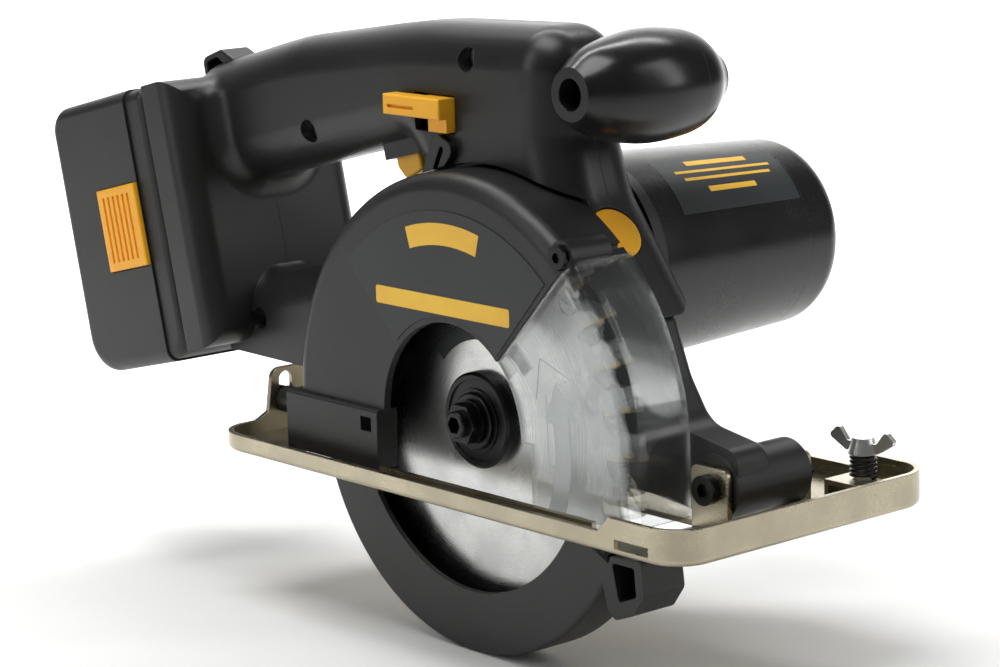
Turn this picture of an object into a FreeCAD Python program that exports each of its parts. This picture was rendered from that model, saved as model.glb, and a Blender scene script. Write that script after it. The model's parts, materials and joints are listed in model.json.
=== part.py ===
import FreeCAD, Part
import math
import os

# Cordless metal-cutting circular saw, millimetres.
# The pieces are drawn about the blade: X is the cutting direction, +Y points from the blade to the
# motor, +Z is up and the blade axis is Y through (0, 0, 0).  write() then moves every piece so that
# the sole of the base is z = 0 and y = 0 runs along the middle of the base.

# ---- blade and spindle -----------------------------------------------------------------------
blade_dia = 135.0
blade_bore = 20.0
blade_plate = 1.2
blade_kerf = 1.8
tooth_count = 30
gullet_depth = 5.0
carbide_depth = 3.6
carbide_thick = 1.6
flange_dia = 31.0
flange_thick = 4.0
spindle_dia = 12.0
bolt_hex = 12.0
run_gap = 0.05            # radial clearance of running fits
part_gap = 0.3            # clearance between neighbours that move
seat_gap = 0.1            # clearance of pieces that are screwed together

# ---- base ------------------------------------------------------------------------------------
arbor_height = 23.1       # blade axis above the sole
base_near = -26.5         # blade-side edge of the base
base_far = 85.5           # motor-side edge of the base
base_front = 113.6
base_rear = -112.5
base_plate_t = 1.8
rim_low = 6.3             # height of the side rims above the sole
rim_high = 11.2           # height of the front rim above the sole
rim_corner = 13.0
window_near = -16.0
window_far = 13.5
window_rear = -84.0
window_front = 84.0
pivot_x = 90.8
pivot_z = -8.8
ear_near = 9.0
ear_far = 43.0
ear_t = 2.0
ear_width = 15.2
ear_top = -2.1
pin_dia = 6.0
tab_y0 = -2.3
tab_y1 = 15.3
tab_top = 0.4
clamp_y = 3.7
clamp_z = -10.9
clamp_boss_r = 4.6
clamp_dia = 5.0
clamp_play = 0.45         # room for the clamp bolt's head to tilt with the depth
depth_travel = 7.0        # travel of the clamp bolt in the slot of the rear tab
wing_x = 95.0
wing_y = 72.2
wing_dia = 6.0
wing_hub_z = -8.0
wing_turn = 6.7           # degrees, rest angle of the wings

# ---- guards ----------------------------------------------------------------------------------
guard_radius = 80.0
guard_wall = 2.6
guard_face = -15.0
guard_back = 11.0
guard_screw_r = 1.3
guard_head_r = 1.9
guard_screw_angles = (80.0, 118.0, 156.0)
guard_screw_radius = 77.4
guard_ear_r = 2.1
window_screw_radius = 79.0
window_screw_lead = 2.6   # degrees past the window joint
guard_leg_rear = -80.0
guard_leg_front = -34.0
guard_foot = -19.6
arbor_opening = 33.0
window_joint = 46.5       # degrees, joint between the dark guard and the clear window
window_step_x = 37.5
window_wall = 2.4
swing_outer = 75.0
swing_inner = 54.7
swing_near = -8.9
swing_far = 8.0
swing_wall = 1.8
swing_front = -27.0       # degrees, leading end of the swinging guard
swing_rear = -178.0       # degrees, trailing end of the swinging guard
hub_radius = 22.0
hub_wall = 3.0
hub_boss_y = 5.2          # front face of the bearing boss of the gear case

# ---- gear case and motor ---------------------------------------------------------------------
motor_teeth = 12          # pinion cut on the armature shaft
idler_teeth = 32          # large wheel of the intermediate gear
idler_module = 1.0
idler_pinion_teeth = 12   # small wheel of the intermediate gear
spindle_teeth = 27
spindle_module = 1.25
motor_x = 6.0
idler_y0 = 15.4
idler_y1 = 19.4
gear_y0 = 20.6
gear_y1 = 27.6
idler_journal = 4.0
case_y0 = 12.0
case_seam = 29.5          # joint between the gear case and its cover
case_y1 = 38.2
case_wall = 3.0
case_belly = 20.9         # radius of the case around the spindle gear
arm_far = 27.0            # motor side of the arm that reaches to the base hinge
barrel_radius = 10.2
motor_radius = 35.0
motor_end_radius = motor_radius - 4.0
motor_y0 = 42.0
motor_y1 = 128.0
motor_wall = 2.6
shaft_dia = 5.0
fit_gap = 0.02            # pressed or screwed cylinders
bearing_front = (spindle_dia / 2 + fit_gap, 14.0, 6.0, 12.5)
bearing_rear = (spindle_dia / 2 + fit_gap, 14.0, 30.5, 36.5)
motor_bearing_front = (shaft_dia / 2 + fit_gap, 9.5, 33.0, 39.0)
motor_bearing_rear = (shaft_dia / 2 + fit_gap, 8.0, motor_y1 - 12.0, motor_y1 - 7.0)

# ---- body shells -----------------------------------------------------------------------------
body_mid = 20.0           # parting plane of the two shells
body_half = 18.0          # half width of the handle
shell_wall = 2.6
handle_round = 14.0
handle_blend = 8.0        # fillet where the handle grows out of the battery mount
handle_root_z = 60.0
pitch = 13.4              # degrees, tilt of the battery mount
mount_half = 36.0         # half width of the battery and of its mount
mount_u0 = -135.7
mount_u1 = -117.5
mount_w0 = 37.0
mount_w1 = 130.6
knob_x = 40.0
knob_z = 106.0
knob_y0 = 2.0
knob_y1 = 63.0
knob_radius = 17.8
knob_ring = 8.3
knob_hole = 5.0
knob_seam = 45.0
knob_bolt_y = 26.0
screw_seat = 10.0         # depth of the screw heads, from the blade plane
hidden_seat = 15.0        # the same behind the blade guard
screw_r = 1.7
boss_r = 4.6
sleeve_u0 = -42.3
sleeve_u1 = -22.5
sleeve_y0 = 10.8
sleeve_y1 = 29.2
sleeve_w0 = 88.0
trigger_u0 = -38.8
trigger_u1 = -26.0
trigger_y0 = 13.0
trigger_y1 = 27.0
lever_x0 = -42.5
lever_x1 = -14.5
lever_y0 = -4.5
lever_z0 = 90.0
lever_z1 = 101.0
lever_travel = 6.0
knob_bolt_r = 3.0
shell_screws = ((-91.0, 84.0), (-8.5, 113.5), (-122.0, 16.0))
hidden_screw = (-64.0, 16.0)   # shell screw behind the blade guard

lock_x = 43.5
lock_y = 16.0
lock_z = 61.6
lock_angle = 40.0
lock_radius = 8.8
lock_proud = 2.2
lock_stem_r = 2.5
lock_stem = 33.0

# ---- battery ---------------------------------------------------------------------------------
pack_u0 = -198.6
pack_u1 = -136.5
pack_w0 = 34.0
pack_w1 = 131.2
pack_seam = -148.5
pack_wall = 2.2
stick_u1 = -88.0
stick_half = 12.8
stick_w0 = 98.0
stick_w1 = 124.0
cell_dia = 22.4
cell_len = 43.0
latch_w0 = 69.3
latch_w1 = 98.7
latch_u0 = -173.2
latch_u1 = -148.9
latch_proud = 1.6
latch_depth = 0.6         # how far a free latch sinks into the case wall
lid_step = 0.8

axis_x = FreeCAD.Vector(1, 0, 0)
axis_y = FreeCAD.Vector(0, 1, 0)
axis_z = FreeCAD.Vector(0, 0, 1)
origin = FreeCAD.Vector(0, 0, 0)
blade_offset = (base_near + base_far) / 2
to_sole = FreeCAD.Vector(0, -blade_offset, arbor_height)
blade_radius = blade_dia / 2
spindle_centres = spindle_module * (spindle_teeth + idler_pinion_teeth) / 2
motor_centres = idler_module * (idler_teeth + motor_teeth) / 2
centre_distance = spindle_centres + motor_centres
motor_z = math.sqrt(centre_distance ** 2 - motor_x ** 2)
motor_angle = math.degrees(math.atan2(motor_z, motor_x))
idler_x = spindle_centres * motor_x / centre_distance
idler_z = spindle_centres * motor_z / centre_distance
body_near = body_mid - body_half
body_far = body_mid + body_half
sole_top = -arbor_height + base_plate_t
pieces = {}


# ---- helpers ---------------------------------------------------------------------------------
def vec(x, y, z):
    return FreeCAD.Vector(x, y, z)


def box(x0, x1, y0, y1, z0, z1):
    return Part.makeBox(x1 - x0, y1 - y0, z1 - z0, vec(x0, y0, z0))


def rod(radius, start, along, length):
    return Part.makeCylinder(radius, length, start, along)


def rod_y(radius, y0, y1, x=0.0, z=0.0):
    return rod(radius, vec(x, y0, z), axis_y, y1 - y0)


def ring_y(outer, inner, y0, y1, x=0.0, z=0.0):
    return rod_y(outer, y0, y1, x, z).cut(rod_y(inner, y0 - 1, y1 + 1, x, z))


def fused(first, *others):
    return first.fuse(list(others)).removeSplitter()


def polar(radius, degrees):
    angle = math.radians(degrees)
    return radius * math.cos(angle), radius * math.sin(angle)


def rounded_wire(corners):
    """Closed wire in the XZ plane through (x, z, corner radius) corners, with tangent arcs."""
    count = len(corners)
    stops = []
    for i in range(count):
        before = vec(corners[i - 1][0], 0, corners[i - 1][1])
        here = vec(corners[i][0], 0, corners[i][1])
        after = vec(corners[(i + 1) % count][0], 0, corners[(i + 1) % count][1])
        radius = corners[i][2] if len(corners[i]) > 2 else 0.0
        back = (before - here).normalize()
        ahead = (after - here).normalize()
        half = back.getAngle(ahead) / 2
        if radius <= 0 or abs(half - math.pi / 2) < 1e-4:
            stops.append((here, here, None))
            continue
        reach = radius / math.tan(half)
        centre = here + (back + ahead).normalize() * (radius / math.sin(half))
        middle = centre + (here - centre).normalize() * radius
        stops.append((here + back * reach, here + ahead * reach, middle))
    edges = []
    for i in range(count):
        first, last, middle = stops[i]
        if middle is not None:
            edges.append(Part.Arc(first, middle, last).toShape())
        following = stops[(i + 1) % count][0]
        if last.distanceToPoint(following) > 1e-6:
            edges.append(Part.LineSegment(last, following).toShape())
    return Part.Wire(edges)


def slab(corners, y0, y1):
    """Plate of an XZ outline between two Y planes."""
    face = Part.Face(rounded_wire(corners))
    face.translate(vec(0, y0, 0))
    return face.extrude(vec(0, y1 - y0, 0))


def slab_of_wire(wire, y0, y1):
    face = Part.Face(wire)
    face.translate(vec(0, y0, 0))
    return face.extrude(vec(0, y1 - y0, 0))


def sector(outer, inner, start, end, y0, y1):
    """Ring sector about the blade axis; angles in degrees from +X towards +Z."""
    sweep = end - start
    points = []
    for radius, angle in ((outer, start), (outer, start + sweep / 2), (outer, end),
                          (inner, end), (inner, start + sweep / 2), (inner, start)):
        x, z = polar(radius, angle)
        points.append(vec(x, y0, z))
    edges = [Part.Arc(points[0], points[1], points[2]).toShape(),
             Part.LineSegment(points[2], points[3]).toShape(),
             Part.Arc(points[3], points[4], points[5]).toShape(),
             Part.LineSegment(points[5], points[0]).toShape()]
    return Part.Face(Part.Wire(edges)).extrude(vec(0, y1 - y0, 0))


def revolved(profile, centre_x, centre_z):
    """Solid of revolution about a Y line from (radius, y) points or ready edges."""
    points = [vec(centre_x + r, y, centre_z) for r, y in profile]
    wire = Part.makePolygon(points + [points[0]])
    return Part.Face(wire).revolve(vec(centre_x, 0, centre_z), axis_y, 360)


def edges_where(shape, test):
    return [edge for edge in shape.Edges if test(edge)]


def edges_in_plane(shape, y, tolerance=1e-3):
    return edges_where(shape, lambda e: abs(e.BoundBox.YMin - y) < tolerance
                       and abs(e.BoundBox.YMax - y) < tolerance)


def tilted(shape):
    """Turn a piece drawn in the battery's own (u, w) axes to the pitch of the mount."""
    shape.rotate(origin, axis_y, -pitch)
    return shape


def hexagon(across, start, along, length, turn=0.0):
    radius = across / math.sqrt(3)
    corners = [vec(radius * math.cos(math.radians(60 * i + turn)),
                   radius * math.sin(math.radians(60 * i + turn)), 0) for i in range(6)]
    prism = Part.Face(Part.makePolygon(corners + [corners[0]])).extrude(vec(0, 0, length))
    prism.Placement = FreeCAD.Placement(start, FreeCAD.Rotation(axis_z, along))
    return prism


def socket_screw(start, along, head_r, head_h, shank_r, shank_l, key):
    """Cap screw: start is the outer face of the head, along points into the work."""
    unit = vec(along.x, along.y, along.z).normalize()
    head = rod(head_r, start, unit, head_h)
    shank = rod(shank_r, start + unit * head_h, unit, shank_l)
    recess = hexagon(key, start - unit * 0.5, unit, head_h * 0.6 + 0.5)
    return head.fuse(shank).cut(recess)


def cross_screw(start, along, head_r, head_h, shank_r, shank_l):
    """Pan head screw with a cross recess."""
    unit = vec(along.x, along.y, along.z).normalize()
    head = rod(head_r, start, unit, head_h)
    shank = rod(shank_r, start + unit * head_h, unit, shank_l)
    bit = Part.makeBox(head_r * 1.3, head_r * 0.34, head_h * 0.7, vec(-head_r * 0.65, -head_r * 0.17, -0.2))
    other = bit.copy()
    other.rotate(origin, axis_z, 90)
    cross = bit.fuse(other)
    cross.Placement = FreeCAD.Placement(start, FreeCAD.Rotation(axis_z, unit))
    return head.fuse(shank).cut(cross)


def coil(radius, wire_r, start, along, length, turns):
    """Helical spring of round wire about an axis."""
    pitch_of = length / turns
    helix = Part.makeHelix(pitch_of, length, radius)
    section = Part.Wire(Part.Circle(vec(radius, 0, 0), axis_y, wire_r).toShape())
    spring = Part.Wire(helix).makePipeShell([section], True, True)
    spring.Placement = FreeCAD.Placement(start, FreeCAD.Rotation(axis_z, along))
    return spring


def ball_bearing(bore_r, outer_r, y0, y1, x, z):
    """Inner race, outer race and a ring of balls as separate solids, with shields left off."""
    race = (outer_r - bore_r) * 0.3
    middle_r = (bore_r + outer_r) / 2
    middle_y = (y0 + y1) / 2
    ball_r = min((outer_r - bore_r) / 2 - race * 0.62, (y1 - y0) * 0.3)
    groove = Part.makeTorus(middle_r, ball_r + run_gap, vec(x, middle_y, z), axis_y)
    inner = ring_y(bore_r + race, bore_r, y0, y1, x, z).cut(groove)
    outer = ring_y(outer_r, outer_r - race, y0, y1, x, z).cut(groove)
    balls = []
    count = 8
    for i in range(count):
        dx, dz = polar(middle_r, 360.0 * i / count)
        balls.append(Part.makeSphere(ball_r, vec(x + dx, middle_y, z + dz)))
    return Part.makeCompound([inner, outer] + balls)


def toothed(radius_root, radius_tip, teeth, y0, y1, x, z, phase, land):
    """Spur gear blank with straight-sided teeth; land is the share of the pitch left solid."""
    corners = []
    step = 360.0 / teeth
    for i in range(teeth):
        base_angle = phase + i * step
        for radius, share in ((radius_root, -0.62), (radius_tip, -0.30), (radius_tip, 0.30),
                              (radius_root, 0.62)):
            dx, dz = polar(radius, base_angle + share * land * step)
            corners.append(vec(x + dx, y0, z + dz))
    return Part.Face(Part.makePolygon(corners + [corners[0]])).extrude(vec(0, y1 - y0, 0))


def gear_blank(module, teeth, y0, y1, x, z, phase):
    """Spur gear of a module and a number of teeth."""
    return toothed(module * (teeth / 2 - 1.25), module * (teeth / 2 + 0.9), teeth, y0, y1, x, z, phase, 0.40)


def write(name, shape):
    moved = shape.copy()
    moved.translate(to_sole)
    pieces[name] = moved


# ---- base ------------------------------------------------------------------------------------
def make_base_plate():
    """Pressed steel tray: sole, rims, blade opening, pivot ears and the slotted rear tab."""
    height = rim_high
    tray = box(base_rear, base_front, base_near, base_far, -arbor_height, -arbor_height + height)
    upright = edges_where(tray, lambda e: e.BoundBox.ZLength > height - 0.1)
    tray = tray.makeFillet(rim_corner, upright)
    inner = box(base_rear + base_plate_t, base_front - base_plate_t, base_near + base_plate_t,
                base_far - base_plate_t, sole_top, sole_top + 2 * height)
    inner = inner.makeFillet(rim_corner - base_plate_t,
                             edges_where(inner, lambda e: e.BoundBox.ZLength > height))
    under = edges_where(tray, lambda e: e.BoundBox.ZMax < -arbor_height + 0.1)
    tray = tray.makeFillet(base_plate_t * 1.2, under).cut(inner)
    low = sole_top - base_plate_t + rim_low
    ramp_start = base_front - 34.0
    ramp_end = base_front - 24.0
    lowering = slab([(base_rear - 5, low), (ramp_start, low), (ramp_end, low + 10), (ramp_end, 10),
                     (base_rear - 5, 10)], base_near - 5, base_far + 5)
    tray = tray.cut(lowering)
    opening = box(window_rear, window_front, window_near, window_far, -arbor_height - 5, sole_top + 5)
    opening = opening.makeFillet(4.0, edges_where(opening, lambda e: e.BoundBox.ZLength > 5))
    lip = box(guard_leg_front + 1.0, window_front - 16, window_near - base_plate_t, window_near,
              -arbor_height + 1, sole_top + 3.2)
    tray = fused(tray, lip).cut(opening)
    between = box(pivot_x - 4, pivot_x + 12, ear_near + 7, ear_far - 4, -arbor_height - 5, sole_top + 5)
    tray = tray.cut(between)
    ears = []
    for y0 in (ear_near, ear_far):
        ear = box(pivot_x - ear_width / 2, pivot_x + ear_width / 2, y0, y0 + ear_t, sole_top - 0.5, ear_top)
        tops = edges_where(ear,
                           lambda e: e.BoundBox.ZMin > ear_top - 0.1 and e.BoundBox.YLength > ear_t - 0.1)
        ears.append(ear.makeFillet(2.5, tops))
    tab_x1 = base_rear + base_plate_t
    tab = box(base_rear, tab_x1, tab_y0, tab_y1, -arbor_height + 2, tab_top)
    tab = tab.makeFillet(4.0, edges_where(tab, lambda e: e.BoundBox.ZMin > tab_top - 0.1
                                          and e.BoundBox.XLength > base_plate_t - 0.1))
    flare = Part.Face(Part.makePolygon([vec(base_rear, tab_y0 + 0.1, -arbor_height + 2),
                                        vec(base_rear, tab_y0 - 7.0, -arbor_height + 2),
                                        vec(base_rear, tab_y0 - 7.0, low - 0.2),
                                        vec(base_rear, tab_y0 - 1.6, low + 2.5),
                                        vec(base_rear, tab_y0 + 0.1, low + 14.0),
                                        vec(base_rear, tab_y0 + 0.1, -arbor_height + 2)]))
    flare = flare.extrude(vec(base_plate_t, 0, 0))
    tray = fused(tray, tab, flare, *ears)
    tray = tray.cut(rod_y(pin_dia / 2 + run_gap, ear_near - 2, ear_far + 4, pivot_x, pivot_z))
    slot_r = clamp_dia / 2 + part_gap
    slot = box(base_rear - 1, tab_x1 + 1, clamp_y - slot_r, clamp_y + slot_r, clamp_z, clamp_z + depth_travel)
    for z in (clamp_z, clamp_z + depth_travel):
        slot = slot.fuse(rod(slot_r, vec(base_rear - 1, clamp_y, z), axis_x, base_plate_t + 2))
    tray = tray.cut(slot)
    fence = box(wing_x - 8.2, wing_x + 6.2, base_near - 1, base_near + base_plate_t + 0.1, sole_top + 0.4,
                sole_top + 3.2)
    tray = tray.cut(fence)
    threaded = rod(wing_dia / 2 + run_gap, vec(wing_x, wing_y, -arbor_height - 1), axis_z, 5)
    relief = box(wing_x - 9, wing_x + 3, wing_y + 4.5, base_far - base_plate_t - 2, -arbor_height - 1,
                 sole_top + 1)
    return tray.cut(threaded).cut(relief)


def make_pivot():
    """Hinge pin of the base with its socket head, and the nut that keeps it."""
    head_h = 3.0
    nut_t = 3.6
    end_y = ear_far + ear_t + seat_gap
    pin = socket_screw(vec(pivot_x, ear_near - head_h - seat_gap, pivot_z), axis_y, 4.6, head_h,
                       pin_dia / 2, end_y + nut_t + 0.8 - ear_near + seat_gap, 4.0)
    nut = hexagon(10.0, vec(pivot_x, end_y, pivot_z), axis_y, nut_t).cut(
        rod_y(pin_dia / 2, end_y - 1, end_y + nut_t + 1, pivot_x, pivot_z))
    write("pivot_pin", pin)
    write("pivot_nut", nut)


def make_wing_screw():
    """Wing screw that clamps the rip fence bar, its spring and the clamp plate under it."""
    hub_z0 = wing_hub_z
    hub = Part.makeCone(5.0, 3.4, 5.0, vec(wing_x, wing_y, hub_z0), axis_z)
    shank = rod(wing_dia / 2, vec(wing_x, wing_y, -arbor_height + 0.4), axis_z, hub_z0 + arbor_height + 2)
    wing_t = 1.9
    wings = []
    for side in (-1, 1):
        outline = [(wing_x + side * 2.4, hub_z0 + 0.4), (wing_x + side * 6.0, hub_z0 + 0.4, 1.0),
                   (wing_x + side * 12.6, hub_z0 + 4.4, 1.2), (wing_x + side * 8.8, hub_z0 + 7.9, 1.2),
                   (wing_x + side * 5.4, hub_z0 + 3.4, 0.8), (wing_x + side * 2.4, hub_z0 + 3.4)]
        wings.append(slab(outline, wing_y - wing_t / 2, wing_y + wing_t / 2))
    screw = fused(hub, shank, *wings)
    screw.rotate(vec(wing_x, wing_y, 0), axis_z, wing_turn)
    plate_z0 = sole_top + 3.2
    plate_t = 1.6
    plate = box(wing_x - 9, wing_x + 9, wing_y - 8, wing_y + 4, plate_z0, plate_z0 + plate_t)
    for x0 in (wing_x - 9, wing_x + 9 - 1.6):
        plate = plate.fuse(box(x0, x0 + 1.6, wing_y - 8, wing_y + 4, sole_top + 0.02, plate_z0 + 0.1))
    plate = plate.removeSplitter().cut(rod(wing_dia / 2 + part_gap, vec(wing_x, wing_y, plate_z0 - 1),
                                           axis_z, 4))
    spring_z0 = plate_z0 + plate_t + 0.75
    spring = coil(3.9, 0.48, vec(wing_x, wing_y, spring_z0), axis_z, hub_z0 - 0.7 - spring_z0, 5.0)
    write("wing_screw", screw)
    write("fence_clamp_plate", plate)
    write("wing_screw_spring", spring)


# ---- blade and spindle -----------------------------------------------------------------------
def make_blade():
    """Steel plate with gullets, and the carbide tips brazed to its teeth."""
    root = blade_radius - gullet_depth
    step = 360.0 / tooth_count
    corners = []
    tips = []
    for i in range(tooth_count):
        start = i * step
        for radius, share in ((blade_radius - 0.7, 0.0), (blade_radius - 1.6, 0.42), (root + 1.2, 0.62),
                              (root, 0.80), (root + 0.8, 0.95), (root + 1.6, 0.999)):
            dx, dz = polar(radius, start + share * step)
            corners.append(vec(dx, -blade_plate / 2, dz))
        tip = Part.makeBox(carbide_depth, blade_kerf, carbide_thick,
                           vec(blade_radius - carbide_depth, -blade_kerf / 2, -carbide_thick - 0.02))
        tip.rotate(origin, axis_y, -start)
        tips.append(tip)
    plate = Part.Face(Part.makePolygon(corners + [corners[0]])).extrude(vec(0, blade_plate, 0))
    tips = Part.makeCompound(tips)
    plate = plate.cut(rod_y(blade_bore / 2, -3, 3)).cut(tips)
    write("blade", plate)
    write("blade_carbide_tips", tips)


def make_spindle():
    """Output shaft with the register for the blade, clamping flanges, bolt and driven gear."""
    half = blade_plate / 2
    shaft = rod_y(spindle_dia / 2, -2.0, bearing_rear[3])
    inner_y0 = half + 0.02
    inner = ring_y(flange_dia / 2 - 2, spindle_dia / 2 + 0.02, inner_y0, inner_y0 + flange_thick)
    pilot = ring_y(blade_bore / 2 - 0.02, spindle_dia / 2 + 0.02, inner_y0 - 1.0, inner_y0 + 0.5)
    inner = inner.fuse(pilot).removeSplitter()
    outer_y1 = -half - 0.02
    outer = rod_y(flange_dia / 2, outer_y1 - flange_thick, outer_y1)
    outer = outer.makeChamfer(0.8, edges_in_plane(outer, outer_y1 - flange_thick))
    collar = rod_y(9.2, outer_y1 - flange_thick - 1.6, outer_y1 - flange_thick + 0.1)
    collar = collar.makeFillet(0.6, edges_in_plane(collar, outer_y1 - flange_thick - 1.6))
    dish = ring_y(13.2, 10.4, outer_y1 - flange_thick - 1, outer_y1 - flange_thick + 0.6)
    outer = outer.cut(dish).fuse(collar).removeSplitter()
    outer = outer.cut(rod_y(4.1, outer_y1 - 20, outer_y1 + 2))
    outer = outer.cut(rod_y(spindle_dia / 2 + 0.02, -2.02, 2))
    seat_y = outer_y1 - flange_thick - 1.6
    washer = rod_y(7.2, seat_y - 1.4, seat_y)
    head = hexagon(bolt_hex, vec(0, seat_y - 1.4, 0), vec(0, -1, 0), 3.6)
    nose = rod_y(4.4, seat_y - 7.4, seat_y - 4.8)
    nose = nose.makeChamfer(0.5, edges_in_plane(nose, seat_y - 7.4))
    bolt = fused(washer, head, nose, rod_y(4.0, seat_y - 0.5, 14.0))
    bolt = bolt.cut(hexagon(5.0, vec(0, seat_y - 8, 0), axis_y, 4.5))
    shaft = shaft.cut(rod_y(4.0, -3, 15.0)).removeSplitter()
    gear = gear_blank(spindle_module, spindle_teeth, gear_y0, gear_y1, 0, 0,
                      motor_angle + 180.0 / spindle_teeth)
    gear = gear.cut(rod_y(spindle_dia / 2 + fit_gap, gear_y0 - 1, gear_y1 + 1))
    lighten = []
    for i in range(6):
        dx, dz = polar(10.8, 60 * i)
        lighten.append(rod_y(2.4, gear_y0 - 1, gear_y1 + 1, dx, dz))
    write("spindle", shaft)
    write("blade_inner_flange", inner)
    write("blade_outer_flange", outer)
    write("blade_bolt", bolt)
    write("spindle_gear", gear.cut(Part.makeCompound(lighten)))


def make_idler():
    """Intermediate gear: large wheel, small wheel and both journals in one piece."""
    wheel = gear_blank(idler_module, idler_teeth, idler_y0, idler_y1, idler_x, idler_z,
                       motor_angle + 180.0 / idler_teeth)
    pinion = gear_blank(spindle_module, idler_pinion_teeth, idler_y1 - 0.1, gear_y1 + 0.6, idler_x, idler_z,
                        motor_angle + 180.0)
    journals = rod_y(idler_journal, case_y0 + 1.0, case_seam + 2.6, idler_x, idler_z)
    write("idler_gear", fused(wheel, pinion, journals))


# ---- gear case -------------------------------------------------------------------------------
def gear_case_outline():
    return [(-46, 8, 12), (-42, 42, 18), (-14, 61.5, 14), (24, 61.5, 14), (44, 48, 8), (44, -4, 14),
            (30, -15.5, 12),
            (-30, -15.5, 14)]


def arm_outline():
    tip_x = pivot_x + barrel_radius * 0.9
    return [(10, 61.5), (24, 61.5, 14), (60.5, 37.5, 6), (67.5, 20, 16), (76, 7, 12), (tip_x, 3.0, 6),
            (tip_x, pivot_z - barrel_radius * 0.6, 6), (pivot_x - barrel_radius * 0.4,
                                                        pivot_z - barrel_radius * 0.9, 5),
            (62, -15.5, 12), (10, -15.5)]


def make_gear_case():
    """Case with the guard hub and the hinge arm, and the cover that carries the motor."""
    block = slab(gear_case_outline(), case_y0, case_y1)
    belly = rod_y(case_belly, case_y0, case_y1)
    arm = slab(arm_outline(), case_y0, arm_far)
    arm = arm.makeFillet(3.5,
            edges_where(arm, lambda e: abs(e.BoundBox.YMin - arm_far) < 1e-3 and e.BoundBox.XMax > 40
                                          and e.BoundBox.ZMax > -4))
    flange = rod_y(motor_radius, case_y1 - 0.5, motor_y0, motor_x, motor_z)
    boss = rod_y(hub_radius - hub_wall, hub_boss_y, case_y0 + 1)
    boss = boss.cut(ring_y(hub_radius, hub_radius - hub_wall - 1.0, hub_boss_y - 1, hub_boss_y + 0.95))
    barrel = rod_y(barrel_radius, ear_near + ear_t + part_gap, ear_far - part_gap, pivot_x, pivot_z)
    case = fused(block, belly, arm, flange, boss, barrel)
    chamber_y0 = case_y0 + case_wall
    spindle_tip = spindle_module * (spindle_teeth / 2 + 1)
    idler_tip = idler_module * (idler_teeth / 2 + 1)
    motor_tip = idler_module * (motor_teeth / 2 + 1)
    room = rod_y(spindle_tip + 0.8, chamber_y0, case_seam)
    room = room.fuse(rod_y(idler_tip + 0.8, chamber_y0, case_seam, idler_x, idler_z))
    room = room.fuse(rod_y(motor_tip + 1.2, chamber_y0, motor_bearing_front[2] + 1, motor_x, motor_z))
    cuts = [room, rod_y(pin_dia / 2 + run_gap, 0, 60, pivot_x, pivot_z),
            rod_y(bearing_front[1], bearing_front[2], bearing_front[3]),
            rod_y(spindle_dia / 2 + 1.2, 0, bearing_rear[3] + 0.6),
            rod_y(bearing_rear[1], case_seam, bearing_rear[3]),
            rod_y(idler_journal + run_gap, case_y0 + 0.8, case_seam + 3.0, idler_x, idler_z),
            rod_y(motor_bearing_front[1], motor_bearing_front[2], motor_y0 + 1, motor_x, motor_z),
            rod_y(motor_radius - case_wall, case_y1 + 1.5, motor_y0 + 1, motor_x, motor_z),
            rod(lock_stem_r + part_gap, lock_point(-lock_stem - 6), lock_point(1.0) - lock_point(0.0),
                lock_stem + 2)]
    case = case.cut(cuts)
    far = 300.0
    write("gear_case", case.common(box(-far, far, -far, case_seam, -far, far).fuse(
        box(60, far, -far, far, -far, 20))))
    write("gear_case_cover", case.common(box(-far, 60, case_seam, far, -far, far)))


def make_drive_bearings():
    write("spindle_bearing_front", ball_bearing(*bearing_front, 0, 0))
    write("spindle_bearing_rear", ball_bearing(*bearing_rear, 0, 0))
    write("motor_bearing_front", ball_bearing(*motor_bearing_front, motor_x, motor_z))
    write("motor_bearing_rear", ball_bearing(*motor_bearing_rear, motor_x, motor_z))


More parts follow.
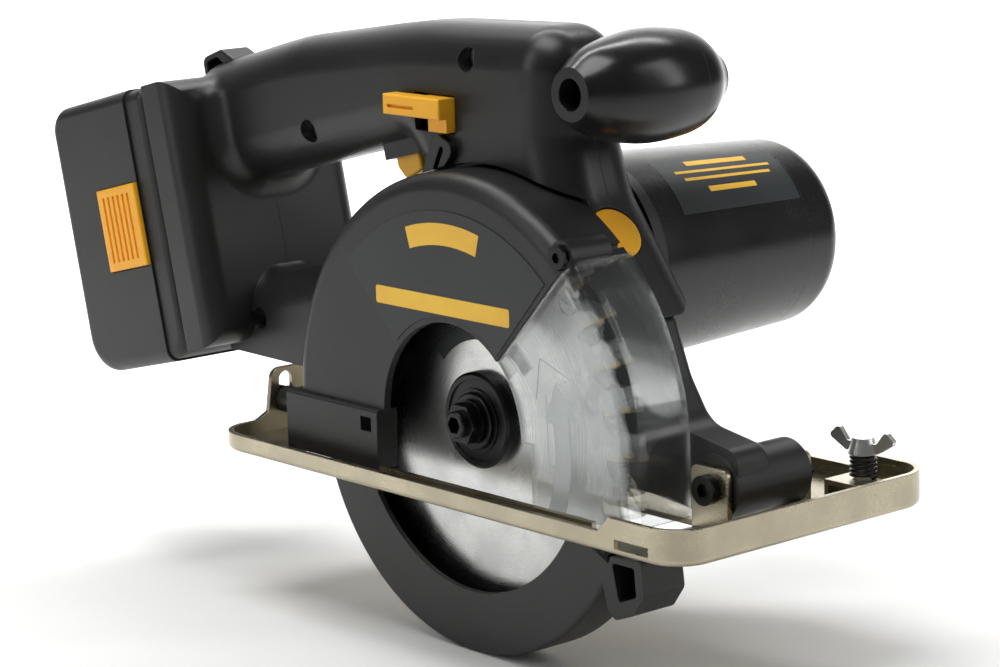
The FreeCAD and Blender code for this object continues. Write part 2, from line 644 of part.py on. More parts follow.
# ---- motor -----------------------------------------------------------------------------------
def make_motor():
    """Moulded motor housing with its end cap, the yoke, magnets, armature and brushes."""
    seam = motor_y1 - 18.0
    taper = (motor_radius - motor_end_radius) / (motor_y1 - motor_y0)
    seam_r = motor_radius - taper * (seam - motor_y0)
    body = revolved([(0, motor_y0), (motor_radius, motor_y0), (seam_r, seam), (0, seam)], motor_x, motor_z)
    hollow = revolved([(0, motor_y0 - 1), (motor_radius - motor_wall, motor_y0 - 1),
                       (seam_r - motor_wall, seam + 1), (0, seam + 1)], motor_x, motor_z)
    body = body.cut(hollow)
    end_r = motor_end_radius
    round_r = 9.0
    cap = revolved([(0, seam), (seam_r, seam), (end_r, motor_y1), (0, motor_y1)], motor_x, motor_z)
    cap = cap.makeFillet(round_r, edges_in_plane(cap, motor_y1))
    cap_hollow = revolved([(0, seam - 1), (seam_r - motor_wall, seam - 1),
                           (end_r - motor_wall - 1.5, motor_y1 - 9.5), (end_r - round_r,
                                                                        motor_y1 - motor_wall),
                           (0, motor_y1 - motor_wall)], motor_x, motor_z)
    cap = cap.cut(cap_hollow)
    post_r = motor_bearing_rear[1] + 2.0
    post = ring_y(post_r, motor_bearing_rear[1], motor_bearing_rear[2], motor_y1 - motor_wall + 0.5,
                  motor_x, motor_z)
    cap = cap.fuse(post).removeSplitter()
    vents = []
    for i in range(10):
        vent = box(motor_x + 15.0, motor_x + 24.0, motor_y1 - 6, motor_y1 + 1, motor_z - 1.1, motor_z + 1.1)
        vent.rotate(vec(motor_x, 0, motor_z), axis_y, 36.0 * i)
        vents.append(vent)
    cap = cap.cut(Part.makeCompound(vents))
    yoke_r = seam_r - motor_wall - 0.3
    yoke_t = 2.2
    yoke_y0 = motor_y0 + 20.0
    yoke = ring_y(yoke_r, yoke_r - yoke_t, yoke_y0, seam - 6.0, motor_x, motor_z)
    magnet_t = 4.6
    magnets = []
    for start in (20.0, 200.0):
        arc = sector(yoke_r - yoke_t, yoke_r - yoke_t - magnet_t, start, start + 140.0, yoke_y0 + 4,
                     seam - 12.0)
        arc.translate(vec(motor_x, 0, motor_z))
        magnets.append(arc)
    core_r = yoke_r - yoke_t - magnet_t - 0.8
    core_y0 = yoke_y0 + 5.0
    core_y1 = seam - 14.0
    shaft_end = motor_bearing_rear[3] + 1.0
    shaft = rod_y(shaft_dia / 2, idler_y0 - 0.2, shaft_end, motor_x, motor_z)
    pinion = gear_blank(idler_module, motor_teeth, idler_y0 - 0.2, idler_y1 + 2.0, motor_x, motor_z,
                        motor_angle + 180.0)
    shaft = fused(shaft, pinion)
    slots = 12
    core = rod_y(core_r, core_y0, core_y1, motor_x, motor_z)
    cuts = []
    for i in range(slots):
        mouth = box(motor_x + core_r * 0.45, motor_x + core_r + 1, core_y0 - 1, core_y1 + 1, motor_z - 0.9,
                    motor_z + 0.9)
        mouth = mouth.fuse(rod_y(2.0, core_y0 - 1, core_y1 + 1, motor_x + core_r * 0.68, motor_z))
        mouth.rotate(vec(motor_x, 0, motor_z), axis_y, 360.0 * i / slots)
        cuts.append(mouth)
    core = core.cut(Part.makeCompound(cuts)).cut(rod_y(shaft_dia / 2 + fit_gap, 0, 140, motor_x, motor_z))
    wound_r = core_r * 0.82
    windings = []
    for y0, y1 in ((core_y0 - 5.0, core_y0), (core_y1, core_y1 + 5.0)):
        winding = ring_y(wound_r, shaft_dia / 2 + fit_gap, y0, y1, motor_x, motor_z)
        windings.append(winding)
    com_r = 8.5
    com_y0 = core_y1 + 5.5
    com_y1 = com_y0 + 9.0
    commutator = ring_y(com_r, shaft_dia / 2 + fit_gap, com_y0, com_y1, motor_x, motor_z)
    bars = 12
    gaps = []
    for i in range(bars):
        gap = box(motor_x + com_r - 1.2, motor_x + com_r + 1, com_y0 + 0.8, com_y1 + 1, motor_z - 0.25,
                  motor_z + 0.25)
        gap.rotate(vec(motor_x, 0, motor_z), axis_y, 360.0 * i / bars)
        gaps.append(gap)
    commutator = commutator.cut(Part.makeCompound(gaps))
    fan_y0 = yoke_y0 - 8.0
    fan_r = 24.0
    fan = ring_y(fan_r, shaft_dia / 2 + fit_gap, fan_y0, fan_y0 + 1.6, motor_x, motor_z)
    blades = []
    for i in range(9):
        vane = box(motor_x + 7.0, motor_x + fan_r - 1, fan_y0 - 4.0, fan_y0 + 0.1, motor_z - 0.7,
                   motor_z + 0.7)
        vane.rotate(vec(motor_x + 7.0, 0, motor_z), axis_y, 24)
        vane.rotate(vec(motor_x, 0, motor_z), axis_y, 40.0 * i)
        blades.append(vane)
    fan = fused(fan, *blades).common(rod_y(fan_r, fan_y0 - 5, fan_y0 + 2, motor_x, motor_z))
    brush_w = 5.0
    brushes = []
    holders = []
    for side in (-1, 1):
        carbon = box(motor_x - 3.0, motor_x + 3.0, com_y0 + 1.5, com_y0 + 1.5 + brush_w, 0, 9.0)
        carbon.translate(vec(0, 0, motor_z + (com_r + run_gap if side > 0 else -com_r - run_gap - 9.0)))
        brushes.append(carbon)
        lower = motor_z + (com_r + 1.5 if side > 0 else -com_r - 15.5)
        shell = box(motor_x - 4.2, motor_x + 4.2, com_y0 + 0.3, com_y0 + 2.7 + brush_w, lower, lower + 14.0)
        shell = shell.cut(box(motor_x - 3.05, motor_x + 3.05, com_y0 + 1.45, com_y0 + 1.55 + brush_w,
                              lower - 1, lower + 15))
        holders.append(shell)
    write("motor_housing", body)
    write("motor_end_cap", cap)
    write("motor_yoke", yoke)
    write("motor_magnets", Part.makeCompound(magnets))
    write("armature_shaft", shaft)
    write("armature_core", core)
    write("armature_windings", Part.makeCompound(windings))
    write("commutator", commutator)
    write("cooling_fan", fan)
    write("carbon_brushes", Part.makeCompound(brushes))
    write("brush_holders", Part.makeCompound(holders))


# ---- guards ----------------------------------------------------------------------------------
def arch(radius, y0, y1, foot):
    """Half disc over the blade axis with straight legs down to the foot."""
    edges = [Part.Arc(vec(radius, 0, 0), vec(0, 0, radius), vec(-radius, 0, 0)).toShape(),
             Part.LineSegment(vec(-radius, 0, 0), vec(-radius, 0, foot)).toShape(),
             Part.LineSegment(vec(-radius, 0, foot), vec(radius, 0, foot)).toShape(),
             Part.LineSegment(vec(radius, 0, foot), vec(radius, 0, 0)).toShape()]
    return slab_of_wire(Part.Wire(edges), y0, y1)


def rounded_arch(radius, y0, y1, foot, round_r):
    """Arch whose outer corner on the y0 side is rounded."""
    solid = arch(radius, y0, y1, foot)
    rim = edges_where(solid, lambda e: abs(e.BoundBox.YMax - y0) < 1e-3 and e.BoundBox.ZMax > -0.1)
    return solid.makeFillet(round_r, rim)


def make_upper_guard():
    """Dark fixed guard with the arbor opening, the rear leg and its clamp boss."""
    round_r = 6.0
    inner_r = guard_radius - guard_wall
    shell = rounded_arch(guard_radius, guard_face, guard_back, guard_foot, round_r)
    shell = shell.cut(rounded_arch(inner_r, guard_face + guard_wall, guard_back + 1, guard_foot - 1,
                                   round_r - guard_wall))
    joint_x, joint_z = polar(200.0, window_joint)
    front = slab([(0, 0), (joint_x, joint_z), (200, joint_z), (200, -60), (guard_leg_front, -60),
                  (guard_leg_front, 0)], -60, 60)
    shell = shell.cut(front)
    proud = 2.5
    block_back = guard_face + 6.0
    block = box(guard_leg_rear - 2.0, guard_leg_front, guard_face - proud, block_back, guard_foot, 0.0)
    block = block.makeFillet(1.0,
            edges_where(block, lambda e: e.BoundBox.ZMin > -0.1 and e.BoundBox.XLength > 5))
    block = block.cut(box(guard_leg_rear + guard_wall, guard_leg_front - guard_wall, guard_face,
                          block_back + 1,
                          guard_foot - 1, -guard_wall))
    rear_wall = box(guard_leg_rear - 2.0, guard_leg_rear + guard_wall, guard_face, guard_back, guard_foot,
                    0.0)
    boss_x0 = base_rear + base_plate_t + part_gap
    boss = rod(clamp_boss_r, vec(boss_x0, clamp_y, clamp_z), axis_x, guard_leg_rear - boss_x0 + 1)
    web = box(guard_leg_rear - 16, guard_leg_rear, clamp_y - 1.2, clamp_y + 1.2, clamp_z, -3.0)
    shell = fused(shell, block, rear_wall, boss, web)
    shell = shell.cut(rod(clamp_dia / 2, vec(boss_x0 - 1, clamp_y, clamp_z), axis_x, 19.0))
    shell = shell.cut(rod_y(arbor_opening, guard_face - 10, guard_face + 10))
    slot = box(guard_leg_front - 8.5, guard_leg_front - guard_wall - 0.4, guard_face - 10, block_back + 1,
               -7.5, -2.8)
    shell = shell.cut(slot)
    back_plate = sector(inner_r + 0.5, swing_outer + run_gap * 6, window_joint, 180.0, guard_back - 1.8,
                        guard_back)
    shell = fused(shell, back_plate)
    for angle in guard_screw_angles:
        x, z = polar(guard_screw_radius, angle)
        ear = rod_y(guard_ear_r, guard_back - 5.0, guard_back, x, z).cut(rod_y(swing_outer + part_gap, -60,
                                                                               60))
        shell = fused(shell, ear)
    for angle in guard_screw_angles:
        x, z = polar(guard_screw_radius, angle)
        shell = shell.cut(rod_y(guard_screw_r, guard_back - 8, guard_back + 1, x, z))
        shell = shell.cut(rod_y(guard_head_r + 0.1, guard_back - 8.5, guard_back - 5.0, x, z))
    x, z = polar(window_screw_radius, window_joint + window_screw_lead)
    post = rod_y(5.0, guard_face + 1.4, guard_face + 18.0, x, z)
    post = post.cut([rod_y(swing_outer + part_gap, -60, 60), front])
    shell = fused(shell, post).cut(rod_y(3.9, guard_face - 3, guard_face + 1.5, x, z))
    return shell.cut(rod_y(guard_screw_r, guard_face - 1, guard_back + 1, x, z))


def make_guard_window():
    """Clear moulded window in front of the cut, with its foot, pad and pointing arrow."""
    joint_gap = 0.3
    outer_r = guard_radius + 1.0
    inner_r = outer_r - window_wall
    face = guard_face + 0.6

    window = rounded_arch(outer_r, face, guard_back, guard_foot, 7.0)
    window = window.cut(rounded_arch(inner_r, face + window_wall, guard_back + 1, guard_foot - 1,
                                     7.0 - window_wall))
    joint_x, joint_z = polar(200.0, window_joint)
    dx, dz = polar(joint_gap, window_joint - 90)
    keep = slab([(dx, dz), (joint_x + dx, joint_z + dz), (220, joint_z), (220, 0), (220, guard_foot),
                 (window_step_x, guard_foot), (window_step_x, 0), (arbor_opening - 1, 0)], -60, 60)
    window = window.common(keep).cut(rod_y(arbor_opening, guard_face - 10, guard_face + 10))
    pad_x, pad_z = polar(73.0, window_joint - 6.5)
    pad = rod_y(4.0, face - 0.7, face + 0.5, pad_x, pad_z).common(rod_y(outer_r - 6.6, -60, 60))
    window = window.fuse(pad)
    arrow_t = 0.7
    arrow_mid = []
    for radius, angle in ((51.0, 33.0), (60.5, 22.5), (55.0, 22.0), (52.0, -6.0), (46.5, -6.0),
                          (48.5, 20.5), (43.5, 20.0)):
        arrow_mid.append((*polar(radius, angle), 0.0))
    window = window.fuse(slab(arrow_mid, face - arrow_t, face + 0.4)).removeSplitter()
    return window


def make_guard_badge():
    """Thin printed plate on the flat face of the guard."""
    plate_t = 0.25
    y1 = guard_face
    outer = 68.5
    inner = arbor_opening + 2.0
    badge = sector(outer, inner, window_joint + 1.5, 136.0, y1 - plate_t, y1 - 0.01)
    write("guard_badge", badge)


def make_swing_guard():
    """Retracting guard: two cheeks, the outer rim, a hub that turns on the gear case and the lug."""
    near = sector(swing_outer, swing_inner, swing_rear, swing_front, swing_near, swing_near + swing_wall)
    far = sector(swing_outer, hub_radius - 4, swing_rear, swing_front, swing_far - swing_wall, swing_far)
    rim = sector(swing_outer, swing_outer - swing_wall, swing_rear, swing_front, swing_near, swing_far)
    hub = ring_y(hub_radius, hub_radius - hub_wall + run_gap, swing_far - swing_wall, swing_far + 2.0)
    guard = fused(near, far, rim, hub)
    guard = guard.makeFillet(1.6, edges_where(guard, lambda e: abs(e.BoundBox.YMin - swing_near) < 1e-3
                                              and abs(e.BoundBox.YMax - swing_near) < 1e-3
                                              and e.BoundBox.DiagonalLength > 100
                                              and e.BoundBox.ZMin < -swing_outer + 1))
    guard = guard.cut(rod_y(hub_radius - hub_wall + run_gap, -20, 20))
    lug = slab([(60.2, -31.0, 0), (64.8, -47.5, 1.5), (68.0, -50.5, 2), (76.0, -47.5, 3), (81.0, -40.5, 3),
                (79.6, -30.0, 1.5)], swing_near, swing_far)
    lug = lug.cut(slab([(66.8, -32.6, 1), (69.8, -44.6, 1), (77.4, -41.4, 1), (76.6, -32.6, 1)],
                       swing_near - 1, swing_far - 1.6))
    lug = lug.cut(rod_y(swing_outer - swing_wall - 0.01, swing_near - 1, swing_far + 1))
    guard = fused(guard, lug)
    return guard


def make_guard_hub_parts():
    """Retaining ring of the swinging guard and its return spring."""
    ring = ring_y(hub_radius - 0.5, hub_radius - hub_wall - 1.0 + fit_gap, hub_boss_y + 0.02,
                  hub_boss_y + 0.9)
    wire_r = 0.6
    section = Part.Face(Part.Wire(Part.Circle(vec(hub_radius + 1.8, swing_far + 1.6, 0), axis_z,
                                              wire_r).toShape()))
    spring = section.revolve(vec(0, swing_far + 1.6, 0), axis_y, 330)
    write("swing_guard_retainer", ring)
    return spring


# ---- spindle lock ----------------------------------------------------------------------------
def lock_point(out):
    """Point on the axis of the spindle lock, a distance out from the face of the column."""
    angle = math.radians(lock_angle)
    return vec(lock_x + out * math.cos(angle), lock_y, lock_z + out * math.sin(angle))


def make_spindle_lock():
    inward = lock_point(-1.0) - lock_point(0.0)
    button = rod(lock_radius, lock_point(lock_proud), inward, 5.0)
    rim = edges_where(button,
            lambda e: e.Length > 50 and e.CenterOfMass.distanceToPoint(lock_point(lock_proud)) < 0.1)
    button = button.makeFillet(0.9, rim)
    stem = rod(lock_stem_r, lock_point(lock_proud - 4.9), inward, lock_stem)
    spring = coil(lock_stem_r + 1.3, 0.4, lock_point(lock_proud - 5.6), inward, 5.2, 3)
    hidden_side = box(0, 90, -20, guard_back + 0.4, 0, 120)
    write("spindle_lock_button", fused(button.cut(hidden_side), stem))
    write("spindle_lock_spring", spring)


# ---- body shells -----------------------------------------------------------------------------
def frame_outline(inset=0.0):
    """Side outline of the handle, front column and lower bridge."""
    g = inset
    return [(-139.8 + g, 3 + g), (-155 + g, 101.6 - g), (-105, 114.4 - g, 160), (-40, 123.4 - g, 250),
            (31 - g, 125.2 - g, 14 - g), (31 - g, 91, 12), (36.4 - g, 74, 20), (63.6 - g * 1.4, 38.4 + g),
            (24, 62.4 + g, 14), (-14, 62.4 + g, 14), (-43 + g * 0.6, 42.6, 18), (-47 + g, 8), (-47 + g,
                                                                                               2 + g)]


def grip_outline(outset=0.0):
    """Opening for the hand between the handle and the lower bridge."""
    g = outset
    return [(-139.0 - g, 61.5 + g, 7 + g), (-45 + g, 84.2 + g, 5 + g), (-33 + g, 72, 8 + g),
            (-57 + g, 46 - g, 10 + g), (-131 - g, 30 - g, 9 + g)]


def mount_block(inset=0.0):
    block = box(mount_u0 + inset, mount_u1 - inset, body_mid - mount_half + inset,
                body_mid + mount_half - inset,
                mount_w0 + inset, mount_w1 - inset)
    round_r = 9.0 - inset
    front = edges_where(block, lambda e: e.BoundBox.XMin > mount_u0 + inset + 0.1)
    return tilted(block.makeFillet(round_r, front))


def egg(grow, y0, y1):
    """Solid of the front knob between two planes, grown by a clearance."""
    length = knob_y1 - knob_y0
    shares = ((0.115, 0.72), (0.28, 0.905), (0.49, 1.0), (0.67, 0.965), (0.84, 0.80), (0.945, 0.53))
    stations = [(knob_ring, knob_y0)] + [(share * knob_radius, knob_y0 + part * length) for part,
                                         share in shares]
    stations.append((0.0, knob_y1))
    points = [vec(knob_x + (r + grow if r > 0 else 0), y + (grow if r == 0 else 0), knob_z) for r,
              y in stations]
    curve = Part.BSplineCurve()
    curve.interpolate(Points=points, InitialTangent=vec(0.55, 1, 0), FinalTangent=vec(-1, 0, 0))
    start = vec(knob_x, knob_y0, knob_z)
    edges = [curve.toShape(), Part.LineSegment(points[-1], start).toShape(),
             Part.LineSegment(start, points[0]).toShape()]
    whole = Part.Face(Part.Wire(edges)).revolve(vec(knob_x, 0, knob_z), axis_y, 360)
    return whole.common(rod_y(knob_radius + 5, y0, y1, knob_x, knob_z))


def make_knob():
    """Egg-shaped front grip in two mouldings, drawn together by a screw down its bore."""
    body = egg(0.0, knob_y0, knob_seam)
    body = body.cut(rod_y(knob_hole, knob_y0 - 1, knob_bolt_y, knob_x, knob_z))
    body = body.cut(rod_y(knob_bolt_r + part_gap, knob_bolt_y - 1, knob_seam + 1, knob_x, knob_z))
    cap = egg(0.0, knob_seam, knob_y1 + 1)
    cap = cap.cut(rod_y(knob_bolt_r, knob_seam - 1, knob_seam + 11, knob_x, knob_z))
    bolt = socket_screw(vec(knob_x, knob_bolt_y - 4.0, knob_z), axis_y, knob_hole - part_gap, 4.0,
                        knob_bolt_r,
                        knob_seam + 10.0 - knob_bolt_y, 4.0)
    write("front_knob", body)
    write("front_knob_cap", cap)
    write("front_knob_bolt", bolt)


def rounded_body(inset=0.0):
    """Handle, column, bridge and battery mount as one form, shrunk by an inset."""
    round_r = handle_round - inset
    outer = slab(frame_outline(inset), body_near + inset, body_far - inset)

    def top_rim(e):
        upper = e.BoundBox.ZMin > mount_w0 and (e.BoundBox.ZMin > 90 or e.BoundBox.XMin > knob_x - 10)
        return e.BoundBox.YLength < 1e-3 and upper
    outer = outer.makeFillet(round_r, edges_where(outer, top_rim))
    grip = slab(grip_outline(inset), body_near - 1, body_far + 1)
    outer = outer.cut(grip)
    reach = grip.BoundBox

    def grip_rim(e):
        own = e.BoundBox
        inside = own.XMin > reach.XMin - 1 and own.XMax < reach.XMax + 1 and own.ZMin > reach.ZMin - 1
        frame_corner = own.XMin > -48 and own.ZMax < 61
        return own.YLength < 1e-3 and inside and own.ZMax < reach.ZMax + 1 and not frame_corner
    outer = outer.makeFillet(round_r, edges_where(outer, grip_rim))
    body = fused(outer, mount_block(inset))
    if inset:
        return body

    def handle_root(e):
        middle = e.CenterOfMass
        along = middle.x * math.cos(math.radians(pitch)) + middle.z * math.sin(math.radians(pitch))
        within = e.BoundBox.YMin > body_near - 0.01 and e.BoundBox.YMax < body_far + 0.01
        return abs(along - mount_u1) < 0.05 and within and e.BoundBox.ZMin > handle_root_z
    return body.makeFillet(handle_blend, edges_where(body, handle_root))


def make_body_shells():
    """Two moulded shells that meet on the parting plane: handle, column, bridge and battery mount."""
    body = rounded_body()
    hollow = rounded_body(shell_wall)
    back = guard_back + part_gap
    far = 400.0
    fenced = [rod_y(guard_radius + 1.3 + shell_wall, -far, back + shell_wall),
              box(guard_leg_rear - 6, 20, -far, back + shell_wall, -far, 4.0),
              egg(part_gap + shell_wall, knob_y0 - 5, knob_y1 + 5)]
    hollow = hollow.cut(fenced)
    seats = [(x, z, screw_seat) for x, z in shell_screws] + [(*hidden_screw, hidden_seat)]
    bosses = [rod_y(boss_r, body_near + 1.0, body_far - 1.0, x, z).common(body) for x, z, seat in seats]
    shell = body.cut(hollow).fuse(bosses)
    guard_room = rod_y(guard_radius + 1.3, guard_face - 5, back)
    leg_room = box(guard_leg_rear - 3, 20, guard_face - 5, back, guard_foot - 20, 1.0)
    shell = shell.cut([guard_room, leg_room, egg(part_gap, knob_y0 - 5, knob_y1 + 5)])
    trigger_room = tilted(box(sleeve_u0 - 0.15, sleeve_u1 + 0.15, sleeve_y0 - 0.15, sleeve_y1 + 0.15, 80,
                              108))
    lever_room = box(lever_x1 - 13.5 - lever_travel, lever_x1 + 0.5, body_near - 5, body_near + 9,
                     lever_z0 - 0.6, lever_z1 + 0.6)
    lock_room = rod(lock_radius + part_gap, lock_point(-5.5), lock_point(1.0) - lock_point(0.0), 30.0)
    lock_room = lock_room.fuse(rod(lock_stem_r + 2.2, lock_point(-9.5), lock_point(1.0) - lock_point(0.0),
                                   10.0))
    stem_room = rod(lock_stem_r + part_gap, lock_point(-30), lock_point(1.0) - lock_point(0.0), 30.0)
    stick_room = tilted(box(mount_u0 - 5, stick_u1 + 1, body_mid - stick_half - 0.5,
                            body_mid + stick_half + 0.5,
                            stick_w0 - 0.5, stick_w1 + 0.5))
    shell = shell.cut([trigger_room, lever_room, lock_room, stem_room, stick_room])
    for angle in guard_screw_angles:
        x, z = polar(guard_screw_radius, angle)
        shell = shell.cut(rod_y(guard_screw_r, guard_back - 1, guard_back + 8, x, z))
    for x, z, seat in seats:
        shell = shell.cut(rod_y(boss_r - 0.7, body_near - 2, seat, x, z)).cut(rod_y(screw_r, 0,
                                                                                    body_far - 4, x, z))
    shell = shell.cut(rod_y(motor_radius + 0.5, case_y1 - 1, motor_y0 + 5, motor_x, motor_z))
    write("housing_right", shell.common(box(-far, far, -far, body_mid, -far, far)))
    write("housing_left", shell.common(box(-far, far, body_mid, far, -far, far)))
    screws = []
    for x, z, seat in seats:
        screws.append(cross_screw(vec(x, seat - 2.6, z), axis_y, 3.6, 2.6, screw_r, body_far - 8 - seat))
    write("housing_screws", Part.makeCompound(screws))


def make_trigger():
    """Trigger in its sleeve; it travels up into the handle."""
    sleeve = box(sleeve_u0, sleeve_u1, sleeve_y0, sleeve_y1, sleeve_w0, sleeve_w0 + 15)
    sleeve = sleeve.makeFillet(1.6, edges_where(sleeve, lambda e: e.BoundBox.ZLength > 10))
    sleeve = sleeve.cut(box(trigger_u0 - part_gap, trigger_u1 + part_gap, trigger_y0 - part_gap,
                            trigger_y1 + part_gap, sleeve_w0 - 1, sleeve_w0 + 20))
    finger = slab([(trigger_u0, 98), (trigger_u0, 84.9, 3), (trigger_u0 + 3.6, 80.2, 2.5),
                   (trigger_u1, 82.6, 1.5),
                   (trigger_u1, 98)], trigger_y0, trigger_y1)
    finger = finger.makeFillet(1.2,
            edges_where(finger, lambda e: e.BoundBox.YLength < 1e-3 and e.BoundBox.ZMax < 97.9))
    write("trigger_sleeve", tilted(sleeve))
    write("trigger", tilted(finger))
    spring = coil(2.8, 0.4, vec(trigger_u0 + 5.4, body_mid, 98.5), axis_z, 5.0, 4)
    write("trigger_spring", tilted(spring))
    switch = box(trigger_u0 - 12, trigger_u1 + 14, body_mid - 9, body_mid + 9, 105.0, 119.0)
    plunger = box(trigger_u0 + 3, trigger_u0 + 7.8, body_mid - 2, body_mid + 2, 104.2, 105.5)
    write("switch_body", tilted(fused(switch, plunger)))


def make_lock_off():
    """Lock-off slide on the blade side of the handle."""
    slab_top = box(lever_x0, lever_x1, lever_y0, body_near - 0.5, lever_z1 - 6.6, lever_z1)
    tab = box(lever_x1 - 9.0, lever_x1, body_near - 3.2, body_near + 6.5, lever_z0, lever_z1)
    tail = box(lever_x1 - 13.0, lever_x1, body_near - 0.6, body_near + 6.5, lever_z1 - 6.6, lever_z1)
    lever = fused(slab_top, tab, tail)
    lever = lever.makeFillet(0.8, edges_where(lever, lambda e: abs(e.BoundBox.YMax - lever_y0) < 1e-3))
    groove = box(lever_x0 + 2.5, lever_x0 + 15.5, lever_y0 - 1, lever_y0 + 1.2, lever_z1 - 4.2,
                 lever_z1 - 3.2)
    write("lock_off_lever", lever.cut(groove))


def make_small_parts():
    """Lifting loop at the rear of the handle, wrench keeper and the battery terminal block."""
    loop = slab([(-136, 126), (-136, 138.2, 3), (-124, 139.4, 3), (-115, 133.0, 2), (-112, 128)],
                body_mid - 8, body_mid + 4)
    loop = loop.cut(slab([(-133.4, 131.4, 1), (-133.4, 136.0, 1.5), (-127.0, 136.8, 1.5), (-120.5, 131.4, 1)],
                         body_mid - 13, body_mid + 9))
    loop = tilted(loop.makeFillet(0.8,
            edges_where(loop, lambda e: e.BoundBox.YLength < 1e-3 and e.BoundBox.ZMin > 131)))
    write("lifting_loop", loop.cut(rounded_body()).removeSplitter())
    keeper = slab([(-28.0, 76.2), (-21.5, 90.0, 3.0), (-11.5, 85.5, 3.0), (-17.0, 79.4)], body_near - 2.6,
                  body_near)
    slot = box(-0.95, 0.95, body_near - 4, body_near + 1, -24.0,
               0.0).fuse(rod_y(0.95, body_near - 4, body_near + 1))
    slot.rotate(origin, axis_y, 26)
    slot.translate(vec(-18.2, 0, 84.6))
    keeper = keeper.cut(slot.removeSplitter())
    write("wrench_keeper", keeper)
    block = box(stick_u1 + 3.5, stick_u1 + 10, body_mid - 9, body_mid + 9, stick_w0 + 4, stick_w1 - 4)
    write("battery_terminal_block", tilted(block))


def make_guard_screws():
    screws = []
    for angle in guard_screw_angles:
        x, z = polar(guard_screw_radius, angle)
        screws.append(cross_screw(vec(x, guard_back - 6.8, z), axis_y, guard_head_r, 1.8, guard_screw_r,
                                  10.0))
    x, z = polar(window_screw_radius, window_joint + window_screw_lead)
    screws.append(socket_screw(vec(x, guard_face - 0.6, z), axis_y, 3.6, 2.1, guard_screw_r, 15.0, 3.0))
    write("guard_screws", Part.makeCompound(screws))
    start = base_rear - 3.0 - clamp_play
    write("depth_clamp_bolt", socket_screw(vec(start, clamp_y, clamp_z), axis_x, 4.2, 3.0, clamp_dia / 2,
                                           20.0, 3.0))


# ---- battery ---------------------------------------------------------------------------------
def pack_outline(inset=0.0):
    g = inset
    return [(pack_u0 + g, pack_w1 - g, 9 - g), (pack_u1 - g, pack_w1 - g, 5 - g),
            (pack_u1 - g, pack_w0 + g, 12 - g),
            (pack_u0 + g, pack_w0 + g, 14 - g)]


def make_battery():
    """Battery: case with two latches, lid with the contact stick, and thirteen cells."""
    y0 = body_mid - mount_half
    y1 = body_mid + mount_half
    far_u = pack_seam + 100
    outer = slab(pack_outline(), y0, y1)
    outer = outer.makeFillet(4.5, edges_where(outer, lambda e: e.BoundBox.YLength < 1e-3))
    inner = slab(pack_outline(pack_wall), y0 + pack_wall, y1 - pack_wall)
    case = outer.cut(inner).cut(box(pack_seam, far_u, y0 - 5, y1 + 5, 0, 200))
    low = slab(pack_outline(lid_step), y0 + lid_step, y1 - lid_step)
    low = low.makeFillet(4.0, edges_where(low, lambda e: e.BoundBox.YLength < 1e-3))
    lid_inner = slab(pack_outline(pack_wall + lid_step), y0 + pack_wall + lid_step, y1 - pack_wall - lid_step)
    lid = low.cut(lid_inner).cut(box(pack_u0 - 20, pack_seam, y0 - 5, y1 + 5, 0, 200))
    stick = box(pack_u1 - 2, stick_u1, body_mid - stick_half, body_mid + stick_half, stick_w0, stick_w1)
    stick = stick.makeFillet(4.0, edges_where(stick, lambda e: e.BoundBox.XLength > 10))
    stick_inner = box(pack_u1 - 12, stick_u1 - 1.6, body_mid - stick_half + 1.6, body_mid + stick_half - 1.6,
                      stick_w0 + 1.6, stick_w1 - 1.6)
    stick_inner = stick_inner.makeFillet(2.4, edges_where(stick_inner, lambda e: e.BoundBox.XLength > 10))
    lid = fused(lid, stick).cut(stick_inner)
    for y in (y0, y1):
        case = case.cut(box(latch_u0 - part_gap, latch_u1 + part_gap, y - 5, y + 5, latch_w0 - part_gap,
                            latch_w1 + part_gap))
    write("battery_case", tilted(case))
    write("battery_lid", tilted(lid))
    cells = []
    for layer in range(2):
        for row in range(2):
            for column in range(3):
                u = pack_u0 + pack_wall + 2.7 + cell_dia / 2 + row * (cell_dia + 0.1)
                y = body_mid + (column - 1) * (cell_dia + 0.1)
                w = pack_w0 + 7.0 + layer * (cell_len + 0.3)
                cells.append(rod(cell_dia / 2, vec(u, y, w), axis_z, cell_len))
    cells.append(rod(cell_dia / 2 - 0.2, vec(stick_u1 - 2.0 - cell_len, body_mid,
                                             (stick_w0 + stick_w1) / 2), axis_x, cell_len))
    write("battery_cells", tilted(Part.makeCompound(cells)))
    make_latches(y0, y1)


def make_latches(y0, y1):
    """Ribbed latch buttons on both sides of the battery, each with its spring."""
    proud = latch_proud
    inside = latch_depth
    rib_step = 3.1
    for name, y, side in (("battery_latch_right", y0, -1), ("battery_latch_left", y1, 1)):
        faces = sorted((y + side * proud, y - side * inside))
        latch = box(latch_u0, latch_u1, faces[0], faces[1], latch_w0, latch_w1)
        latch = latch.makeFillet(0.8, edges_in_plane(latch, y + side * proud))
        grooves = []
        for i in range(6):
            u = latch_u0 + 3.6 + i * rib_step
            groove = box(u, u + 1.2, y + side * proud - 0.8, y + side * proud + 0.8, latch_w0 + 3.0,
                         latch_w1 - 3.0)
            grooves.append(groove)
        write(name, tilted(latch.cut(Part.makeCompound(grooves))))


def make_all():
    write("base_plate", make_base_plate())
    make_pivot()
    make_wing_screw()
    make_blade()
    make_spindle()
    make_idler()
    make_gear_case()
    make_drive_bearings()
    make_motor()
    write("upper_guard", make_upper_guard())
    write("guard_window", make_guard_window())
    make_guard_badge()
    write("swing_guard", make_swing_guard())
    write("swing_guard_spring", make_guard_hub_parts())
    make_guard_screws()
    make_spindle_lock()
    make_knob()
    make_body_shells()
    make_trigger()
    make_lock_off()
    make_small_parts()
    make_battery()


